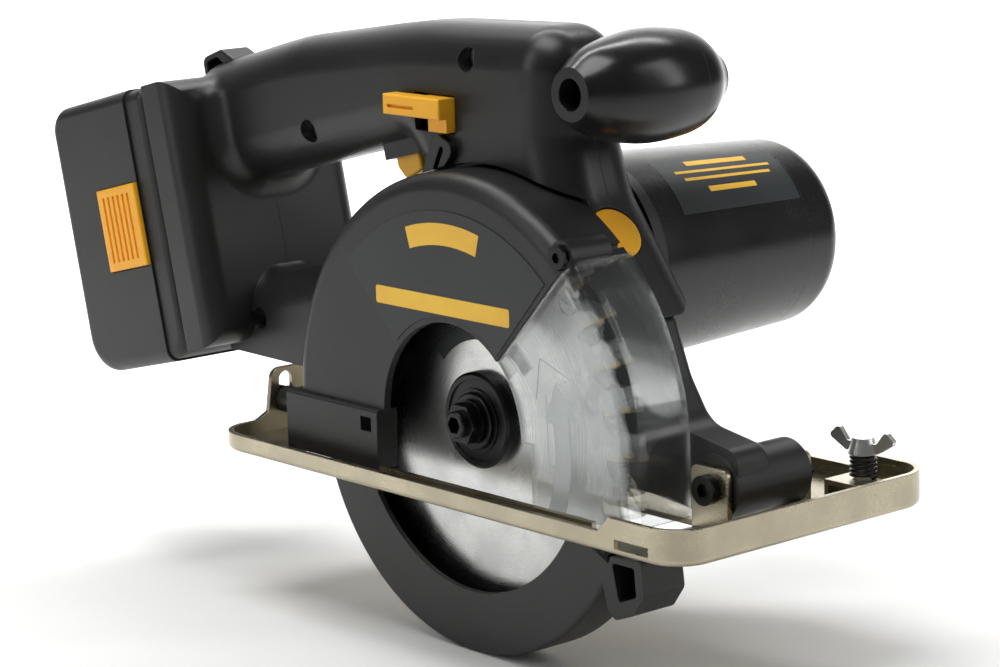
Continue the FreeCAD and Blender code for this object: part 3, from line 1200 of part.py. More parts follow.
make_all()
os.makedirs("parts", exist_ok=True)
for piece_name, piece in pieces.items():
    piece.exportStep("parts/" + piece_name + ".step")
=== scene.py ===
import json
import math

import bmesh
import bpy
from bpy.props import FloatProperty, FloatVectorProperty, IntProperty, PointerProperty
from mathutils import Matrix, Vector
from mathutils.bvhtree import BVHTree

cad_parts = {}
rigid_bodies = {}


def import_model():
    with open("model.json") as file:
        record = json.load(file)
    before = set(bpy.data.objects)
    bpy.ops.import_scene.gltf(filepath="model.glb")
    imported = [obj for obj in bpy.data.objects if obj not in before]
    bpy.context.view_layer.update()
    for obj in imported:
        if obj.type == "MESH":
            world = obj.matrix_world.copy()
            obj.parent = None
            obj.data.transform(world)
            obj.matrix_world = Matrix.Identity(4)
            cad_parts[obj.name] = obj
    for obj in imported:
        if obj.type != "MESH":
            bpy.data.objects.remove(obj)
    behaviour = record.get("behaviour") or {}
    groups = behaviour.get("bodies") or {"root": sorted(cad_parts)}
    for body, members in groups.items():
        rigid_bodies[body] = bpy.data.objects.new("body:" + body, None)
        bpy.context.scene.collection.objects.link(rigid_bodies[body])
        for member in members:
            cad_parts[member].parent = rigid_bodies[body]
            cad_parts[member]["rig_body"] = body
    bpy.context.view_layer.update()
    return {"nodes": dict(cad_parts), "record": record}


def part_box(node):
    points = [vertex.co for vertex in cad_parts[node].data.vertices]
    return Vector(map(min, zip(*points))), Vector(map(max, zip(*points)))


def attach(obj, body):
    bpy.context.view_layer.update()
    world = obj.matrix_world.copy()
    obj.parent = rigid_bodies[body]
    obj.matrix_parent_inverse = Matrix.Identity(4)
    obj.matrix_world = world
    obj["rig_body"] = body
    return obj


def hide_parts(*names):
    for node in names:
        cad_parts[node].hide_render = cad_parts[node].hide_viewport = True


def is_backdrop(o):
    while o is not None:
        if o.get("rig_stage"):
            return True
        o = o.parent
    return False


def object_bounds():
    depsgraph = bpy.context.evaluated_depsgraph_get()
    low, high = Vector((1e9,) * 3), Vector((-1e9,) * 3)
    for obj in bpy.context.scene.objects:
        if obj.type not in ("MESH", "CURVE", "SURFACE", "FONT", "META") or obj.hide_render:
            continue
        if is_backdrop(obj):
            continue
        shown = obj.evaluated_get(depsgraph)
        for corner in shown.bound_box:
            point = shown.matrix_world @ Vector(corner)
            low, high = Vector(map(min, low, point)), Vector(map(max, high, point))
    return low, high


bl_info = {
    "name": "Cordless Metal Saw",
    "version": (1, 0, 0),
    "blender": (4, 5, 0),
    "location": "3D View > Sidebar > Saw",
    "description": "Finishes, labels and studio for a small cordless metal-cutting circular saw",
    "category": "Object",
}

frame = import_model()

MM = 0.001
SLOTS = {part["node"]: part["material_slot"] for part in frame["record"]["subparts"]}
BLADE_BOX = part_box("blade")
HUB = (BLADE_BOX[0] + BLADE_BOX[1]) / 2          # centre of the blade, on its axis


# ---- small tools -------------------------------------------------------------------------------
def linear(hex_colour):
    """Linear RGBA of an sRGB hex colour."""
    channels = [int(hex_colour[i:i + 2], 16) / 255 for i in (0, 2, 4)]
    return tuple(c / 12.92 if c <= 0.04045 else ((c + 0.055) / 1.055) ** 2.4 for c in channels) + (1.0,)


def shaded(colour, share):
    """The same colour, lighter or darker by a share."""
    return tuple(min(1.0, c * share) for c in colour[:3]) + (1.0,)


def node(tree, kind, settings=None, inputs=(), output=0):
    """Adds a node with its settings and its inputs, values or links by name or in order; gives one output."""
    made = tree.nodes.new(kind)
    for name, value in (settings or {}).items():
        setattr(made, name, value)
    for name, value in inputs.items() if isinstance(inputs, dict) else enumerate(inputs):
        if isinstance(value, bpy.types.NodeSocket):
            tree.links.new(value, made.inputs[name])
        else:
            made.inputs[name].default_value = value
    return made.outputs[output] if made.outputs else made


# ---- settings ----------------------------------------------------------------------------------
class SawSettings(bpy.types.PropertyGroup):
    """Sizes and colours of the saw's surfaces, labels and studio"""
    crease: FloatProperty(
        name="Crease", description="Edges that turn more than this stay sharp", default=math.radians(32),
        min=0.0, max=math.pi, subtype="ANGLE")
    edge_radius: FloatProperty(
        name="Edge radius", description="Rounding that the light sees on moulded edges", default=0.45 * MM,
        min=0.0, unit="LENGTH", subtype="DISTANCE")
    print_height: FloatProperty(
        name="Print height", description="How far a printed mark stands off its surface", default=0.06 * MM,
        min=0.0, unit="LENGTH", subtype="DISTANCE")
    tip_count: IntProperty(
        name="Carbide tips", description="Tips brazed round the blade", default=30, min=1)
    tip_reach: FloatProperty(
        name="Tip reach", description="Length of a tip along the blade's radius", default=3.6 * MM,
        unit="LENGTH", subtype="DISTANCE")
    tip_thick: FloatProperty(
        name="Tip thickness", description="Thickness of a tip along the rim", default=1.6 * MM,
        unit="LENGTH", subtype="DISTANCE")
    black: FloatVectorProperty(
        name="Plastic black", description="Colour of the moulded body", default=linear("1D1E1D")[:3],
        size=3, min=0.0, max=1.0, subtype="COLOR")
    amber: FloatVectorProperty(
        name="Amber", description="Colour of the parts that the hand moves", default=linear("FFAF22")[:3],
        size=3, min=0.0, max=1.0, subtype="COLOR")
    camera_turn: FloatProperty(
        name="Camera turn", description="Angle of the camera round the saw from the blade side",
        default=math.radians(49.15), subtype="ANGLE")
    camera_rise: FloatProperty(
        name="Camera rise", description="Angle of the camera above the level", default=math.radians(11.31),
        subtype="ANGLE")
    camera_roll: FloatProperty(
        name="Camera roll", description="Lean of the camera", default=math.radians(-1.34), subtype="ANGLE")
    camera_distance: FloatProperty(
        name="Camera distance", description="Distance from the blade centre", default=957.0 * MM,
        unit="LENGTH", subtype="DISTANCE")
    camera_lens: FloatProperty(
        name="Lens", description="Focal length on a 36 mm sensor, in millimetres", default=108.43, min=1.0)
    key_power: FloatProperty(
        name="Key light", description="Power of the overhead softbox", default=9.0, min=0.0, unit="POWER")
    room_light: FloatProperty(
        name="Room light", description="Even light of the room", default=0.07, min=0.0)
    backdrop_power: FloatProperty(
        name="Backdrop light", description="Power of the light on the sweep behind the saw", default=75.0,
        min=0.0, unit="POWER")
    side_power: FloatProperty(
        name="Side lights", description="Power of each strip light", default=3.0, min=0.0, unit="POWER")


# ---- materials ---------------------------------------------------------------------------------
FINISHES = {}                                # finished materials by the name of their slot or print
COLOURS = {"data_type": "RGBA"}              # a Mix node with these settings blends two colours


class Finish:
    """A material being built: its tree, and the patterns that several finishes share."""

    def __init__(self, name):
        self.name = name
        self.material = bpy.data.materials.new(name)
        self.material.use_nodes = True
        self.tree = self.material.node_tree
        self.tree.nodes.clear()
        self.where = node(self.tree, "ShaderNodeTexCoord", output="Object")

    def grain(self, millimetres, detail=2.0, stretch=(1.0, 1.0, 1.0)):
        """Noise whose features are about this wide, optionally drawn out along an axis."""
        placed = node(self.tree, "ShaderNodeMapping", inputs={"Vector": self.where, "Scale": stretch})
        return node(self.tree, "ShaderNodeTexNoise", inputs={
            "Vector": placed, "Scale": 1.0 / (millimetres * MM), "Detail": detail, "Roughness": 0.55})

    def soft_edges(self, radius):
        """Normal rounded over edges, and a mask that is 1 on them."""
        rounded = node(self.tree, "ShaderNodeBevel", {"samples": 4}, {"Radius": radius})
        plain = node(self.tree, "ShaderNodeNewGeometry", output="Normal")
        facing = node(self.tree, "ShaderNodeVectorMath", {"operation": "DOT_PRODUCT"}, (rounded, plain),
                      "Value")
        return rounded, node(self.tree, "ShaderNodeMapRange", inputs=(facing, 0.995, 0.85, 0.0, 1.0))

    def surface(self, values, bump, depth=0.05 * MM, strength=0.3, normal=None):
        """Ends the tree in a principled surface with the pattern as bump, and files it under its name."""
        relief = {"Height": bump, "Distance": depth, "Strength": strength}
        if normal is not None:
            relief["Normal"] = normal
        inputs = dict(values, Normal=node(self.tree, "ShaderNodeBump", inputs=relief))
        shader = node(self.tree, "ShaderNodeBsdfPrincipled", inputs=inputs)
        node(self.tree, "ShaderNodeOutputMaterial", inputs={"Surface": shader})
        FINISHES[self.name] = self.material


def moulded(name, colour, rough, grain_mm, depth_mm, edge_radius, wear=0.35):
    """Injection-moulded plastic: spark-eroded grain, cloudy gloss, and edges rubbed a little paler."""
    made = Finish(name)
    tree = made.tree
    fine = made.grain(grain_mm)
    cloud = made.grain(34.0, 4.0)                                   # where the plastic cooled unevenly
    speck = made.grain(1.4, 3.0)                                    # breaks up the rubbed edges
    rounded, on_edge = made.soft_edges(edge_radius)
    patches = node(tree, "ShaderNodeMapRange", inputs=(cloud, 0.35, 0.68, 0.0, 1.0))
    base = node(tree, "ShaderNodeMix", COLOURS, {"Factor": patches, 6: colour, 7: shaded(colour, 1.22)}, 2)
    worn = node(tree, "ShaderNodeMapRange", inputs=(speck, 0.42, 0.62, 0.0, wear))
    rubbed = node(tree, "ShaderNodeMath", {"operation": "MULTIPLY"}, (on_edge, worn))
    pale = tuple(min(1.0, c * 1.9 + 0.012) for c in colour[:3]) + (1.0,)
    mottled = node(tree, "ShaderNodeMath", {"operation": "MULTIPLY_ADD"}, (fine, 0.35, cloud))
    gloss = node(tree, "ShaderNodeMapRange", inputs=(mottled, 0.42, 0.92, rough - 0.05, rough + 0.07))
    made.surface({
        "Base Color": node(tree, "ShaderNodeMix", COLOURS, {"Factor": rubbed, 6: base, 7: pale}, 2),
        "Roughness": gloss, "IOR": 1.5, "Specular IOR Level": 0.5}, fine, depth_mm * MM, 0.5, rounded)


def worked_metal(name, colour, rough, stretch, edge_radius, line_mm=0.5, depth_mm=0.006, stain=0.8):
    """Plated, ground or blackened steel: fine lines from its working, with stains and drifting gloss."""
    made = Finish(name)
    tree = made.tree
    lines = made.grain(line_mm, 3.0, stretch)
    cloud = made.grain(26.0, 4.0)                                   # stains and handling marks
    rounded, on_edge = made.soft_edges(edge_radius)
    stained = node(tree, "ShaderNodeMapRange", inputs=(cloud, 0.38, 0.70, 0.0, 1.0))
    toned = node(tree, "ShaderNodeMix", COLOURS, {"Factor": stained, 6: colour, 7: shaded(colour, stain)}, 2)
    polished = node(tree, "ShaderNodeMapRange", inputs=(on_edge, 0.0, 1.0, 0.0, 0.4))
    bright = node(tree, "ShaderNodeMix", COLOURS, {"Factor": polished, 6: toned, 7: shaded(colour, 1.15)}, 2)
    drift = node(tree, "ShaderNodeMath", {"operation": "MULTIPLY_ADD"}, (lines, 0.5, cloud))
    gloss = node(tree, "ShaderNodeMapRange", inputs=(drift, 0.5, 1.0, rough - 0.05, rough + 0.1))
    made.surface({"Base Color": bright, "Metallic": 1.0, "Roughness": gloss},
                 lines, depth_mm * MM, 0.5, rounded)


def ground_disc(name, colour, rough):
    """Blade plate ground on a turntable: fine rings about its axis, which pull highlights into a fan."""
    made = Finish(name)
    tree = made.tree
    centred = node(tree, "ShaderNodeVectorMath", {"operation": "SUBTRACT"}, (made.where, tuple(HUB)))
    flat = node(tree, "ShaderNodeVectorMath", {"operation": "MULTIPLY"}, (centred, (1.0, 0.0, 1.0)))
    radius = node(tree, "ShaderNodeVectorMath", {"operation": "LENGTH"}, (flat,), "Value")
    # Real grinding marks are too fine to show from a metre away, so they are drawn 0.35 mm apart.
    rings = node(tree, "ShaderNodeTexNoise", {"noise_dimensions": "1D"},
                 {"W": radius, "Scale": 1.0 / (0.35 * MM), "Detail": 3.0, "Roughness": 0.6})
    cloud = made.grain(18.0, 4.0)                                   # heat tint from the cutting edge
    tinted = node(tree, "ShaderNodeMapRange", inputs=(cloud, 0.36, 0.68, 0.0, 1.0))
    heat = node(tree, "ShaderNodeMix", COLOURS, {"Factor": tinted, 6: colour, 7: shaded(colour, 0.84)}, 2)
    drift = node(tree, "ShaderNodeMath", {"operation": "MULTIPLY_ADD"}, (rings, 0.6, cloud))
    tangent = node(tree, "ShaderNodeVectorMath", {"operation": "CROSS_PRODUCT"}, (flat, (0.0, 1.0, 0.0)))
    along = node(tree, "ShaderNodeVectorMath", {"operation": "NORMALIZE"}, (tangent,))
    gloss = node(tree, "ShaderNodeMapRange", inputs=(drift, 0.55, 1.05, rough - 0.04, rough + 0.10))
    made.surface({
        "Base Color": heat, "Metallic": 1.0, "Anisotropic": 0.55, "Tangent": along,
        "Roughness": gloss}, rings, 0.004 * MM, 0.5)


def clear_moulding(name, cloudy=0.0):
    """Polycarbonate: water-clear and thin, with moulding haze and swirl scratches that catch the light."""
    made = Finish(name)
    tree = made.tree
    haze = made.grain(22.0, 4.0)
    swirl = made.grain(0.5, 2.0, (1.0, 1.0, 0.12))
    hazed = node(tree, "ShaderNodeMapRange", inputs=(haze, 0.3, 0.7, 0.0, 1.0))
    rough = node(tree, "ShaderNodeMath", {"operation": "MULTIPLY_ADD"}, (swirl, 0.4, haze))
    made.surface({
        "Base Color": node(tree, "ShaderNodeMix", COLOURS, {
            "Factor": hazed, 6: linear("F0F4F4"), 7: linear("E2E8E9")}, 2),
        "Roughness": node(tree, "ShaderNodeMapRange", inputs=(rough, 0.5, 1.0, 0.03 + cloudy, 0.10 + cloudy)),
        "IOR": 1.45, "Transmission Weight": 0.96 - cloudy, "Alpha": 0.55 + cloudy}, swirl, 0.004 * MM, 0.3)


def make_finishes(settings):
    """Every finish of the saw, filed by the name of its slot or of its print."""
    edge = settings.edge_radius
    fine_edge = edge * 0.5
    black = tuple(settings.black) + (1.0,)
    # Glass-filled nylon, spark-eroded: dull black that sparkles in raking light. The real grain is too
    # fine to show from a metre away, so it is drawn 0.95 mm wide here, and coarser on the others too.
    moulded("textured_black_plastic", black, 0.42, 0.95, 0.09, edge)
    # The same nylon from a finer mould: satin, with long soft highlights.
    moulded("satin_black_plastic", shaded(black, 0.92), 0.36, 0.40, 0.012, edge)
    # Polished ABS on the motor and the knob: near-gloss black with slight mould ripple.
    moulded("smooth_black_plastic", shaded(black, 0.80), 0.24, 0.9, 0.004, edge, 0.2)
    # Painted magnesium casting: black, slightly pebbled.
    moulded("cast_magnesium", shaded(black, 0.95), 0.40, 0.8, 0.03, edge)
    # Amber acetal for what the hand moves: waxy, warm and evenly coloured.
    moulded("amber_plastic", tuple(settings.amber) + (1.0,), 0.38, 0.6, 0.010, edge, 0.15)
    # Polyester label stock on the guard: charcoal, a little greyer than the guard round it.
    moulded("badge_grey", linear("222525"), 0.40, 0.5, 0.006, fine_edge, 0.1)
    # Screen-printed amber ink: flat and slightly paler than the moulded levers.
    moulded("label_amber", linear("F3BC3C"), 0.45, 0.5, 0.004, fine_edge, 0.1)
    # The motor's label stock: charcoal, so its patch shows on the glossy barrel.
    moulded("label_dark", linear("2C3031"), 0.40, 0.5, 0.004, fine_edge, 0.1)
    # Black marking ink on the blade: dull where the steel is bright.
    moulded("print_dark", linear("26282A"), 0.48, 0.5, 0.004, fine_edge, 0.1)
    # Unfilled nylon of the fan and the terminal block: off-white and satin.
    moulded("nylon_white", linear("D8D6CA"), 0.42, 0.6, 0.010, edge)
    # Pressed carbon of the brushes, and the switch body: matt dark grey.
    moulded("carbon", linear("27282A"), 0.50, 0.3, 0.020, fine_edge)
    # Sintered ferrite of the field magnets: matt grey with a fine tooth.
    moulded("magnet_ferrite", linear("3A3B3E"), 0.52, 0.4, 0.020, fine_edge)
    # Shrink sleeve of the cells: green film drawn tight, so it shines.
    moulded("cell_sleeve", linear("2F6B57"), 0.32, 0.8, 0.004, fine_edge)
    # Zinc-nickel plate over pressed steel: warm, softly mirrored, drawn along the sole.
    worked_metal("zinc_plated_steel", linear("BDB49D"), 0.28, (0.12, 1.0, 1.0), edge, 0.6, 0.008)
    # Bright zinc on small hardware: pale silver with a soft shine.
    worked_metal("bright_hardware", linear("F2F3F1"), 0.36, (1.0, 1.0, 0.3), fine_edge)
    # Chemically blackened steel: dark with an oily sheen.
    worked_metal("black_oxide_steel", linear("3A3A3B"), 0.32, (1.0, 1.0, 1.0), fine_edge, 0.4, 0.010)
    # Drawn spring wire and the lower guard's retainer: plain grey steel.
    worked_metal("spring_steel", linear("A8A8A4"), 0.28, (1.0, 1.0, 1.0), fine_edge)
    # Ground bearing rings: the brightest steel of the saw.
    worked_metal("bearing_steel", linear("CACBCB"), 0.16, (1.0, 0.3, 1.0), fine_edge)
    # Hobbed and oiled gear steel: mid grey with cutting lines.
    worked_metal("gear_steel", linear("A9AAA9"), 0.28, (1.0, 0.3, 1.0), fine_edge)
    # Brazed carbide with its flux stain: pale straw, duller than the plate.
    worked_metal("carbide", linear("D9C8A6"), 0.42, (1.0, 1.0, 1.0), fine_edge, 0.3, 0.010)
    # Iron of the motor's core and yoke: dull grey.
    worked_metal("motor_iron", linear("6D6E6E"), 0.42, (1.0, 0.2, 1.0), fine_edge)
    # Copper of the windings, commutator and brush holders: reddish, half bright.
    worked_metal("copper", linear("C0764A"), 0.30, (1.0, 0.2, 1.0), fine_edge)
    # Hardened blade plate, ground: pale steel with a fan of light.
    ground_disc("blade_steel", linear("D4D5D3"), 0.26)
    # The guard's window: clear enough to see the teeth through.
    clear_moulding("clear_plastic")
    # The raised arrow on the window: the same plastic with a frosted face.
    clear_moulding("frosted_mark", 0.25)


# ---- pieces ------------------------------------------------------------------------------------
WELD = 0.002 * MM                            # corners of the mesh closer than this are one
LABEL_CREASE = math.radians(40)              # a label curves with its barrel and stays sharp at its rim


def add_piece(name, mesh, body, material, replaced=()):
    """Links a mesh as a piece of the saw on its body."""
    obj = bpy.data.objects.new(name, mesh)
    bpy.context.scene.collection.objects.link(obj)
    mesh.materials.clear()
    mesh.materials.append(FINISHES[material])
    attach(obj, body)
    if replaced:
        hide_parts(*replaced)
    return obj


def smooth(mesh, crease):
    """Shades a mesh smooth, apart from edges that turn more than the crease angle."""
    mesh.shade_smooth()
    mesh.set_sharp_from_angle(angle=crease)


def skin(cad_node, crease, material=None):
    """Smooth-shaded stand-in with the same shape as a node of the frame."""
    source = frame["nodes"][cad_node]
    mesh = source.data.copy()
    mesh.name = cad_node + "_skin"
    work = bmesh.new()
    work.from_mesh(mesh)
    bmesh.ops.remove_doubles(work, verts=work.verts, dist=WELD)
    work.to_mesh(mesh)
    work.free()
    if mesh.attributes.get("custom_normal"):
        mesh.attributes.remove(mesh.attributes["custom_normal"])
    slot = SLOTS[cad_node]
    obj = add_piece(cad_node + "_skin", mesh, source["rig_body"], material or slot, (cad_node,))
    smooth(mesh, crease)
    weigh = obj.modifiers.new("weigh", "WEIGHTED_NORMAL")
    weigh.keep_sharp = True
    return obj


def plate(name, outline, near, far, body, material):
    """Flat mark of an (x, z) outline in mm from the blade centre, between two y planes in metres."""
    work = bmesh.new()
    rims = []
    for y in (near, far):
        rims.append([work.verts.new((HUB.x + x * MM, y, HUB.z + z * MM)) for x, z in outline])
    work.faces.new(rims[0])
    work.faces.new(rims[1][::-1])
    for i in range(len(outline)):
        j = (i + 1) % len(outline)
        work.faces.new((rims[0][i], rims[1][i], rims[1][j], rims[0][j]))
    bmesh.ops.recalc_face_normals(work, faces=work.faces)
    mesh = bpy.data.meshes.new(name)
    work.to_mesh(mesh)
    work.free()
    return add_piece(name, mesh, body, material)


def arc(radius, start, end, steps=28):
    """Points on a circle about the blade axis, angles in degrees."""
    turns = [math.radians(start + (end - start) * i / steps) for i in range(steps + 1)]
    return [(radius * math.cos(turn), radius * math.sin(turn)) for turn in turns]


def sector(inner, outer, start, end):
    """Outline of a piece of a ring about the blade axis, radii in millimetres and angles in degrees."""
    return arc(outer, start, end) + arc(inner, end, start)


def rounded_bar(x0, x1, z0, z1, radius, steps=6):
    """Outline of a bar with rounded corners."""
    points = []
    for cx, cz, first in ((x1 - radius, z1 - radius, 0), (x0 + radius, z1 - radius, 90),
                          (x0 + radius, z0 + radius, 180), (x1 - radius, z0 + radius, 270)):
        for i in range(steps + 1):
            turn = math.radians(first + 90 * i / steps)
            points.append((cx + radius * math.cos(turn), cz + radius * math.sin(turn)))
    return points


def laid_on(name, cad_node, grid, towards, body, material, height):
    """Label pressed on a node: each point of a grid is cast on its surface and set this high on it."""
    source = frame["nodes"][cad_node].data
    corners = [vertex.co for vertex in source.vertices]
    surface = BVHTree.FromPolygons(corners, [tuple(face.vertices) for face in source.polygons])
    work = bmesh.new()
    sheets = []
    for offset in (height, -height):
        sheet = []
        for row in grid:
            line = []
            for point in row:
                hit, facing, _, _ = surface.ray_cast(point, towards(point))
                if hit is None:
                    raise RuntimeError(name + " misses " + cad_node)
                line.append(work.verts.new(hit - towards(point).normalized() * offset))
            sheet.append(line)
        sheets.append(sheet)
    for sheet in sheets:
        for first, second in zip(sheet, sheet[1:]):
            for i in range(len(first) - 1):
                work.faces.new((first[i], first[i + 1], second[i + 1], second[i]))
    rims = [sheet[0] + [row[-1] for row in sheet[1:]] + sheet[-1][-2::-1] + [row[0] for row in sheet[-2:0:-1]]
            for sheet in sheets]
    for i in range(len(rims[0])):
        j = (i + 1) % len(rims[0])
        work.faces.new((rims[0][i], rims[1][i], rims[1][j], rims[0][j]))
    bmesh.ops.recalc_face_normals(work, faces=work.faces)
    mesh = bpy.data.meshes.new(name)
    work.to_mesh(mesh)
    work.free()
    smooth(mesh, LABEL_CREASE)
    return add_piece(name, mesh, body, material)


def ring_tree(name):
    """Copies of the given geometry turned evenly about an axis along Y."""
    tree = bpy.data.node_groups.new(name, "GeometryNodeTree")
    tree.interface.new_socket("Geometry", in_out="INPUT", socket_type="NodeSocketGeometry")
    tree.interface.new_socket("Count", in_out="INPUT", socket_type="NodeSocketInt")
    tree.interface.new_socket("Centre", in_out="INPUT", socket_type="NodeSocketVector")
    tree.interface.new_socket("Material", in_out="INPUT", socket_type="NodeSocketMaterial")
    tree.interface.new_socket("Geometry", in_out="OUTPUT", socket_type="NodeSocketGeometry")
    given = tree.nodes.new("NodeGroupInput").outputs
    points = node(tree, "GeometryNodePoints", inputs={"Count": given["Count"], "Position": given["Centre"]})
    step = node(tree, "ShaderNodeMath", {"operation": "DIVIDE"}, (2 * math.pi, given["Count"]))
    index = node(tree, "GeometryNodeInputIndex")
    turn = node(tree, "ShaderNodeMath", {"operation": "MULTIPLY"}, (index, step))
    spin = node(tree, "ShaderNodeCombineXYZ", inputs={"Y": turn})
    copies = node(tree, "GeometryNodeInstanceOnPoints", inputs={
        "Points": points, "Instance": given["Geometry"], "Rotation": spin})
    real = node(tree, "GeometryNodeRealizeInstances", inputs={"Geometry": copies})
    dressed = node(tree, "GeometryNodeSetMaterial", inputs={"Geometry": real, "Material": given["Material"]})
    tree.links.new(dressed, tree.nodes.new("NodeGroupOutput").inputs["Geometry"])
    return tree


def grown(name, mesh, tree, values):
    """Plain mesh made by a tree from a mesh, with its named inputs set first."""
    seed = bpy.data.objects.new(name + "_seed", mesh)
    bpy.context.scene.collection.objects.link(seed)
    modifier = seed.modifiers.new("grow", "NODES")
    modifier.node_group = tree
    keys = {item.name: item.identifier for item in tree.interface.items_tree if item.in_out == "INPUT"}
    for title, value in values.items():
        modifier[keys[title]] = value
    depsgraph = bpy.context.evaluated_depsgraph_get()
    result = bpy.data.meshes.new_from_object(seed.evaluated_get(depsgraph), depsgraph=depsgraph)
    result.name = name
    bpy.data.objects.remove(seed)
    return result


# ---- operators ---------------------------------------------------------------------------------
SATIN = ("housing_right", "housing_left", "lifting_loop", "wrench_keeper", "trigger_sleeve")
DRAWN_ANEW = ("blade_carbide_tips",)

TIP_SETBACK = 0.2 * MM                       # the tip's leading outer corner is ground back this far
TIP_SEAT = 0.02 * MM                         # braze between the tip and its notch
TIP_ROUND = 0.12 * MM

# The rings are inner and outer radius in millimetres, first and last angle in degrees about the blade axis.
GUARD_BAR_UPPER = (57.5, 64.5, 75.5, 107.5)
GUARD_BAR_LOWER = (-35.0, 29.6, 35.4, 41.2, 0.9)     # left, right, bottom, top and corner in millimetres
BLADE_RING = (25.5, 31.0, 40.0, 140.0)
ARROW_HEAD = [(60.5, 11.5), (50.5, 21.5), (45.0, 9.0)]
ARROW_SHAFT = (56.5, -22.0, 11.0, 12), (49.5, 9.5, -25.5, 12)

# Places on the motor barrel: near and far from the blade in millimetres, first and last angle in degrees.
MOTOR_LABEL = (53.6, 109.0, 29.0, 67.5)
MOTOR_LINES = ((68.0, 96.0, 60.5, 64.5), (60.0, 104.0, 54.5, 56.5), (62.0, 102.0, 49.0, 51.0),
               (70.0, 92.0, 40.5, 44.0))
CAST_RADIUS = 45 * MM                        # labels are cast inwards from outside the barrel
CAST_ROWS = 8
CAST_STEPS = 16


class SAW_OT_finishes(bpy.types.Operator):
    """Mixes every finish of the saw"""
    bl_idname = "saw.finishes"
    bl_label = "Finishes"

    def execute(self, context):
        make_finishes(context.scene.saw_settings)
        return {"FINISHED"}


class SAW_OT_skins(bpy.types.Operator):
    """Gives every node of the frame its finish, smooth where it curves"""
    bl_idname = "saw.skins"
    bl_label = "Skins"

    def execute(self, context):
        crease = context.scene.saw_settings.crease
        for cad_node in sorted(frame["nodes"]):
            if cad_node in DRAWN_ANEW:
                continue
            skin(cad_node, crease, "satin_black_plastic" if cad_node in SATIN else None)
        return {"FINISHED"}


class SAW_OT_tips(bpy.types.Operator):
    """Brazes the carbide tips round the blade"""
    bl_idname = "saw.tips"
    bl_label = "Carbide tips"

    def execute(self, context):
        settings = context.scene.saw_settings
        low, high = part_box("blade_carbide_tips")
        reach = settings.tip_reach
        radius = (high.x - low.x) / 2
        half = (high.y - low.y) / 2
        thick = settings.tip_thick
        work = bmesh.new()
        bmesh.ops.create_cube(work, size=1.0)
        for vert in work.verts:
            lead = TIP_SETBACK if vert.co.x > 0 and vert.co.z < 0 else 0.0
            vert.co = Vector((radius - reach / 2 + vert.co.x * reach - lead, vert.co.y * 2 * half,
                              -thick / 2 - TIP_SEAT + vert.co.z * thick))
        bmesh.ops.bevel(work, geom=work.edges, offset=TIP_ROUND, segments=2, affect="EDGES")
        mesh = bpy.data.meshes.new("carbide_tip")
        work.to_mesh(mesh)
        work.free()
        ring = ring_tree("tips_round_blade")
        tips = grown("carbide_tips", mesh, ring, {
            "Count": settings.tip_count, "Centre": tuple(HUB), "Material": FINISHES["carbide"]})
        add_piece("carbide_tips", tips, "spindle", "carbide", ("blade_carbide_tips",))
        return {"FINISHED"}


class SAW_OT_labels(bpy.types.Operator):
    """Lays plain amber bars, a printed ring and a window arrow where the saw carries its marks"""
    bl_idname = "saw.labels"
    bl_label = "Labels"

    def execute(self, context):
        height = context.scene.saw_settings.print_height
        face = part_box("guard_badge")[0].y
        for name, outline in (("guard_bar_upper", sector(*GUARD_BAR_UPPER)),
                              ("guard_bar_lower", rounded_bar(*GUARD_BAR_LOWER))):
            plate(name, outline, face - height, face + height, "head", "label_amber")
        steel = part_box("blade")[0].y
        ring = sector(*BLADE_RING)
        plate("blade_arrow", ring, steel - height, steel + height, "spindle", "print_dark")
        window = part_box("guard_window")[0].y
        outer, inner = ARROW_SHAFT
        arrow = arc(*outer) + ARROW_HEAD + arc(*inner)
        plate("window_arrow", arrow, window - height * 3, window + height, "head",
              "frosted_mark")
        self.motor_label(height)
        return {"FINISHED"}

    def motor_label(self, height):
        """Charcoal patch on the motor barrel with plain amber lines on it."""
        low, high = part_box("motor_housing")
        axis = Vector(((low.x + high.x) / 2, 0.0, (low.z + high.z) / 2))

        def inwards(point):
            return Vector((axis.x - point.x, 0.0, axis.z - point.z))

        def barrel(near, far, start, end):
            turns = [math.radians(start + (end - start) * i / CAST_STEPS) for i in range(CAST_STEPS + 1)]
            rim = [(axis.x + CAST_RADIUS * math.cos(t), axis.z + CAST_RADIUS * math.sin(t)) for t in turns]
            along = [HUB.y + (near + (far - near) * k / CAST_ROWS) * MM for k in range(CAST_ROWS + 1)]
            return [[Vector((x, y, z)) for x, z in rim] for y in along]

        laid_on("motor_label", "motor_housing", barrel(*MOTOR_LABEL), inwards, "head",
                "label_dark", height)
        for i, place in enumerate(MOTOR_LINES):
            laid_on("motor_label_line_" + str(i + 1), "motor_housing", barrel(*place), inwards, "head",
                    "label_amber", height * 2)


# ---- stage -------------------------------------------------------------------------------------
# Sizes of the paper sweep in metres, from under the saw: its front edge, where it bends, the bend's
# radius, the height of its top and half its width.
SWEEP_FRONT, SWEEP_FLAT, SWEEP_BEND, SWEEP_TOP, SWEEP_HALF = -3.5, 1.7, 0.9, 3.2, 4.0

# Each lamp: name, its place across, up and towards the camera from the middle of the saw in metres,
# its width and height in metres, and the setting that holds its power.
LAMPS = (("overhead", -0.2, 1.1, 0.25, 0.9, 0.6, "key_power"),
         ("left_strip", -1.1, 0.45, 0.5, 0.35, 1.0, "side_power"),
         ("right_strip", 1.2, 0.5, 0.35, 0.3, 1.0, "side_power"))

SENSOR = 36.0                                # width of the camera's sensor in millimetres
AIM_ACROSS = 4.32 * MM                       # how far beside and above the blade centre the camera looks
AIM_ABOVE = 27.0 * MM


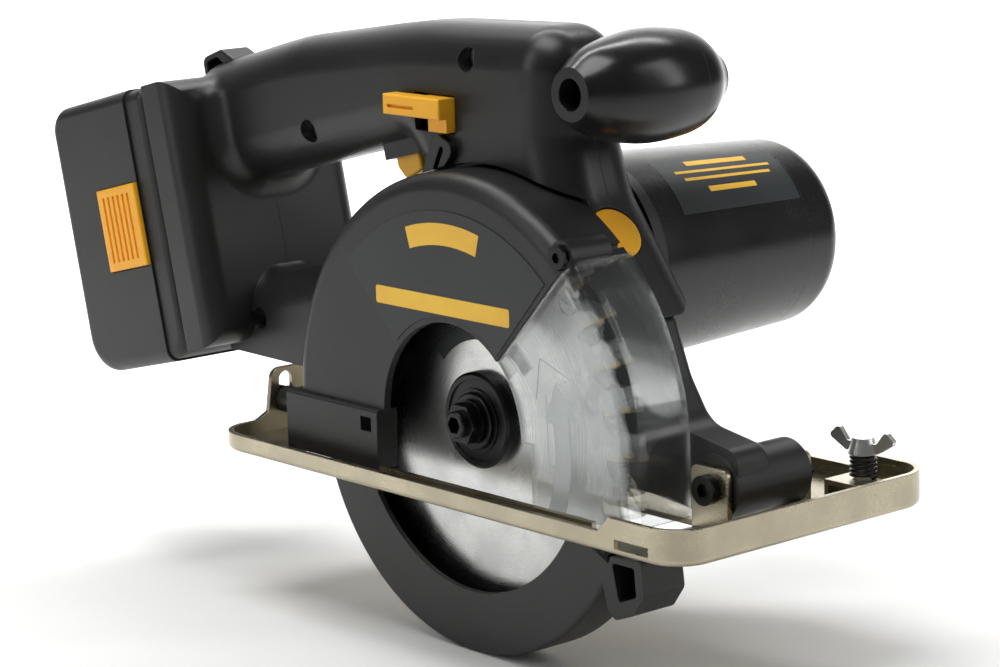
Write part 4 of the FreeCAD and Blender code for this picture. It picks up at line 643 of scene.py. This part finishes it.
class SAW_OT_stage(bpy.types.Operator):
    """Sets up the pale floor, the soft lights and the camera"""
    bl_idname = "saw.stage"
    bl_label = "Stage"

    def execute(self, context):
        settings = context.scene.saw_settings
        scene = context.scene
        low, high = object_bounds()
        turn = settings.camera_turn
        rise = settings.camera_rise
        back = Vector((math.sin(turn) * math.cos(rise), -math.cos(turn) * math.cos(rise), math.sin(rise)))
        level = Vector((math.cos(turn), math.sin(turn), 0.0))
        self.floor(scene, low.z, turn)
        self.lights(scene, settings, level, back, (low + high) / 2)
        self.camera(scene, settings, level, back)
        scene.view_settings.view_transform = "Standard"
        return {"FINISHED"}

    def floor(self, scene, height, turn):
        """One pale sweep that rises behind the saw."""
        away = Vector((-math.sin(turn), math.cos(turn), 0.0))
        side = Vector((math.cos(turn), math.sin(turn), 0.0)) * SWEEP_HALF
        angles = [math.radians(degrees) for degrees in range(0, 91, 6)]
        bend = [(SWEEP_FLAT + SWEEP_BEND * math.sin(a), SWEEP_BEND * (1 - math.cos(a))) for a in angles]
        work = bmesh.new()
        rows = []
        for along, up in [(SWEEP_FRONT, 0.0)] + bend + [(SWEEP_FLAT + SWEEP_BEND, SWEEP_TOP)]:
            middle = away * along + Vector((0, 0, height + up))
            rows.append([work.verts.new(middle + offset) for offset in (-side, side)])
        for first, second in zip(rows, rows[1:]):
            work.faces.new((first[0], first[1], second[1], second[0]))
        mesh = bpy.data.meshes.new("paper_sweep")
        work.to_mesh(mesh)
        work.free()
        mesh.shade_smooth()
        sweep = bpy.data.objects.new("paper_sweep", mesh)
        scene.collection.objects.link(sweep)
        # Matt white paper with a slight tooth: takes a soft shadow and no highlight.
        paper = Finish("paper")
        tooth = paper.grain(2.0, 3.0)
        matt = node(paper.tree, "ShaderNodeMapRange", inputs=(tooth, 0.3, 0.7, 0.78, 0.9))
        paper.surface({"Base Color": linear("F6F6F5"), "Roughness": matt}, tooth)
        mesh.materials.append(paper.material)
        sweep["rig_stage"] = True

    def lights(self, scene, settings, level, back, middle):
        """Overhead softbox, two strips beside the saw, a glow on the sweep and an even pale room."""
        world = bpy.data.worlds.new("room")
        world.use_nodes = True
        air = world.node_tree.nodes["Background"].inputs
        air["Color"].default_value = linear("FFFFFF")
        air["Strength"].default_value = settings.room_light
        scene.world = world
        up = Vector((0, 0, 1))
        glow = middle - back * 0.75 + up * 1.5
        self.lamp(scene, "backdrop", glow, middle - back * 2.4 + up * 0.4, 1.6, 0.6, settings.backdrop_power)
        for name, across, above, near, wide, tall, power in LAMPS:
            spot = middle + up * above + back * near + level * across
            self.lamp(scene, name, spot, middle, wide, tall, getattr(settings, power))

    def lamp(self, scene, name, spot, aim, wide, tall, power):
        """Flat lamp at a spot, turned to what it aims at."""
        data = bpy.data.lights.new(name, "AREA")
        data.shape = "RECTANGLE"
        data.size = wide
        data.size_y = tall
        data.energy = power
        lamp = bpy.data.objects.new(name, data)
        scene.collection.objects.link(lamp)
        lamp.location = spot
        lamp.rotation_mode = "QUATERNION"
        lamp.rotation_quaternion = (aim - spot).to_track_quat("-Z", "Y")

    def camera(self, scene, settings, level, back):
        """Long lens, level with the sole and turned to the cutting side."""
        upright = back.cross(level)
        roll = settings.camera_roll
        right = level * math.cos(roll) + upright * math.sin(roll)
        above = upright * math.cos(roll) - level * math.sin(roll)
        data = bpy.data.cameras.new("camera")
        data.lens = settings.camera_lens
        data.sensor_width = SENSOR
        data.dof.use_dof = False
        camera = bpy.data.objects.new("camera", data)
        scene.collection.objects.link(camera)
        spot = HUB + right * AIM_ACROSS + above * AIM_ABOVE + back * settings.camera_distance
        camera.matrix_world = Matrix.Translation(spot) @ Matrix((right, above, back)).transposed().to_4x4()
        scene.camera = camera


class SAW_PT_panel(bpy.types.Panel):
    """Lists the saw's settings and the operators that make it"""
    bl_idname = "SAW_PT_panel"
    bl_label = "Cordless saw"
    bl_space_type = "VIEW_3D"
    bl_region_type = "UI"
    bl_category = "Saw"

    def draw(self, context):
        for name in SawSettings.__annotations__:
            self.layout.prop(context.scene.saw_settings, name)
        for operator in OPERATORS:
            self.layout.operator(operator.bl_idname)


OPERATORS = (SAW_OT_finishes, SAW_OT_skins, SAW_OT_tips, SAW_OT_labels, SAW_OT_stage)
CLASSES = (SawSettings, *OPERATORS, SAW_PT_panel)


def register():
    """Registers the classes and hangs the settings on the scene."""
    for made in CLASSES:
        bpy.utils.register_class(made)
    bpy.types.Scene.saw_settings = PointerProperty(type=SawSettings)


def unregister():
    """Takes the settings and the classes away again."""
    del bpy.types.Scene.saw_settings
    for made in reversed(CLASSES):
        bpy.utils.unregister_class(made)


def main():
    """Makes the saw and its stage."""
    register()
    bpy.ops.saw.finishes()
    bpy.ops.saw.skins()
    bpy.ops.saw.tips()
    bpy.ops.saw.labels()
    bpy.ops.saw.stage()


if __name__ == "__main__":
    main()
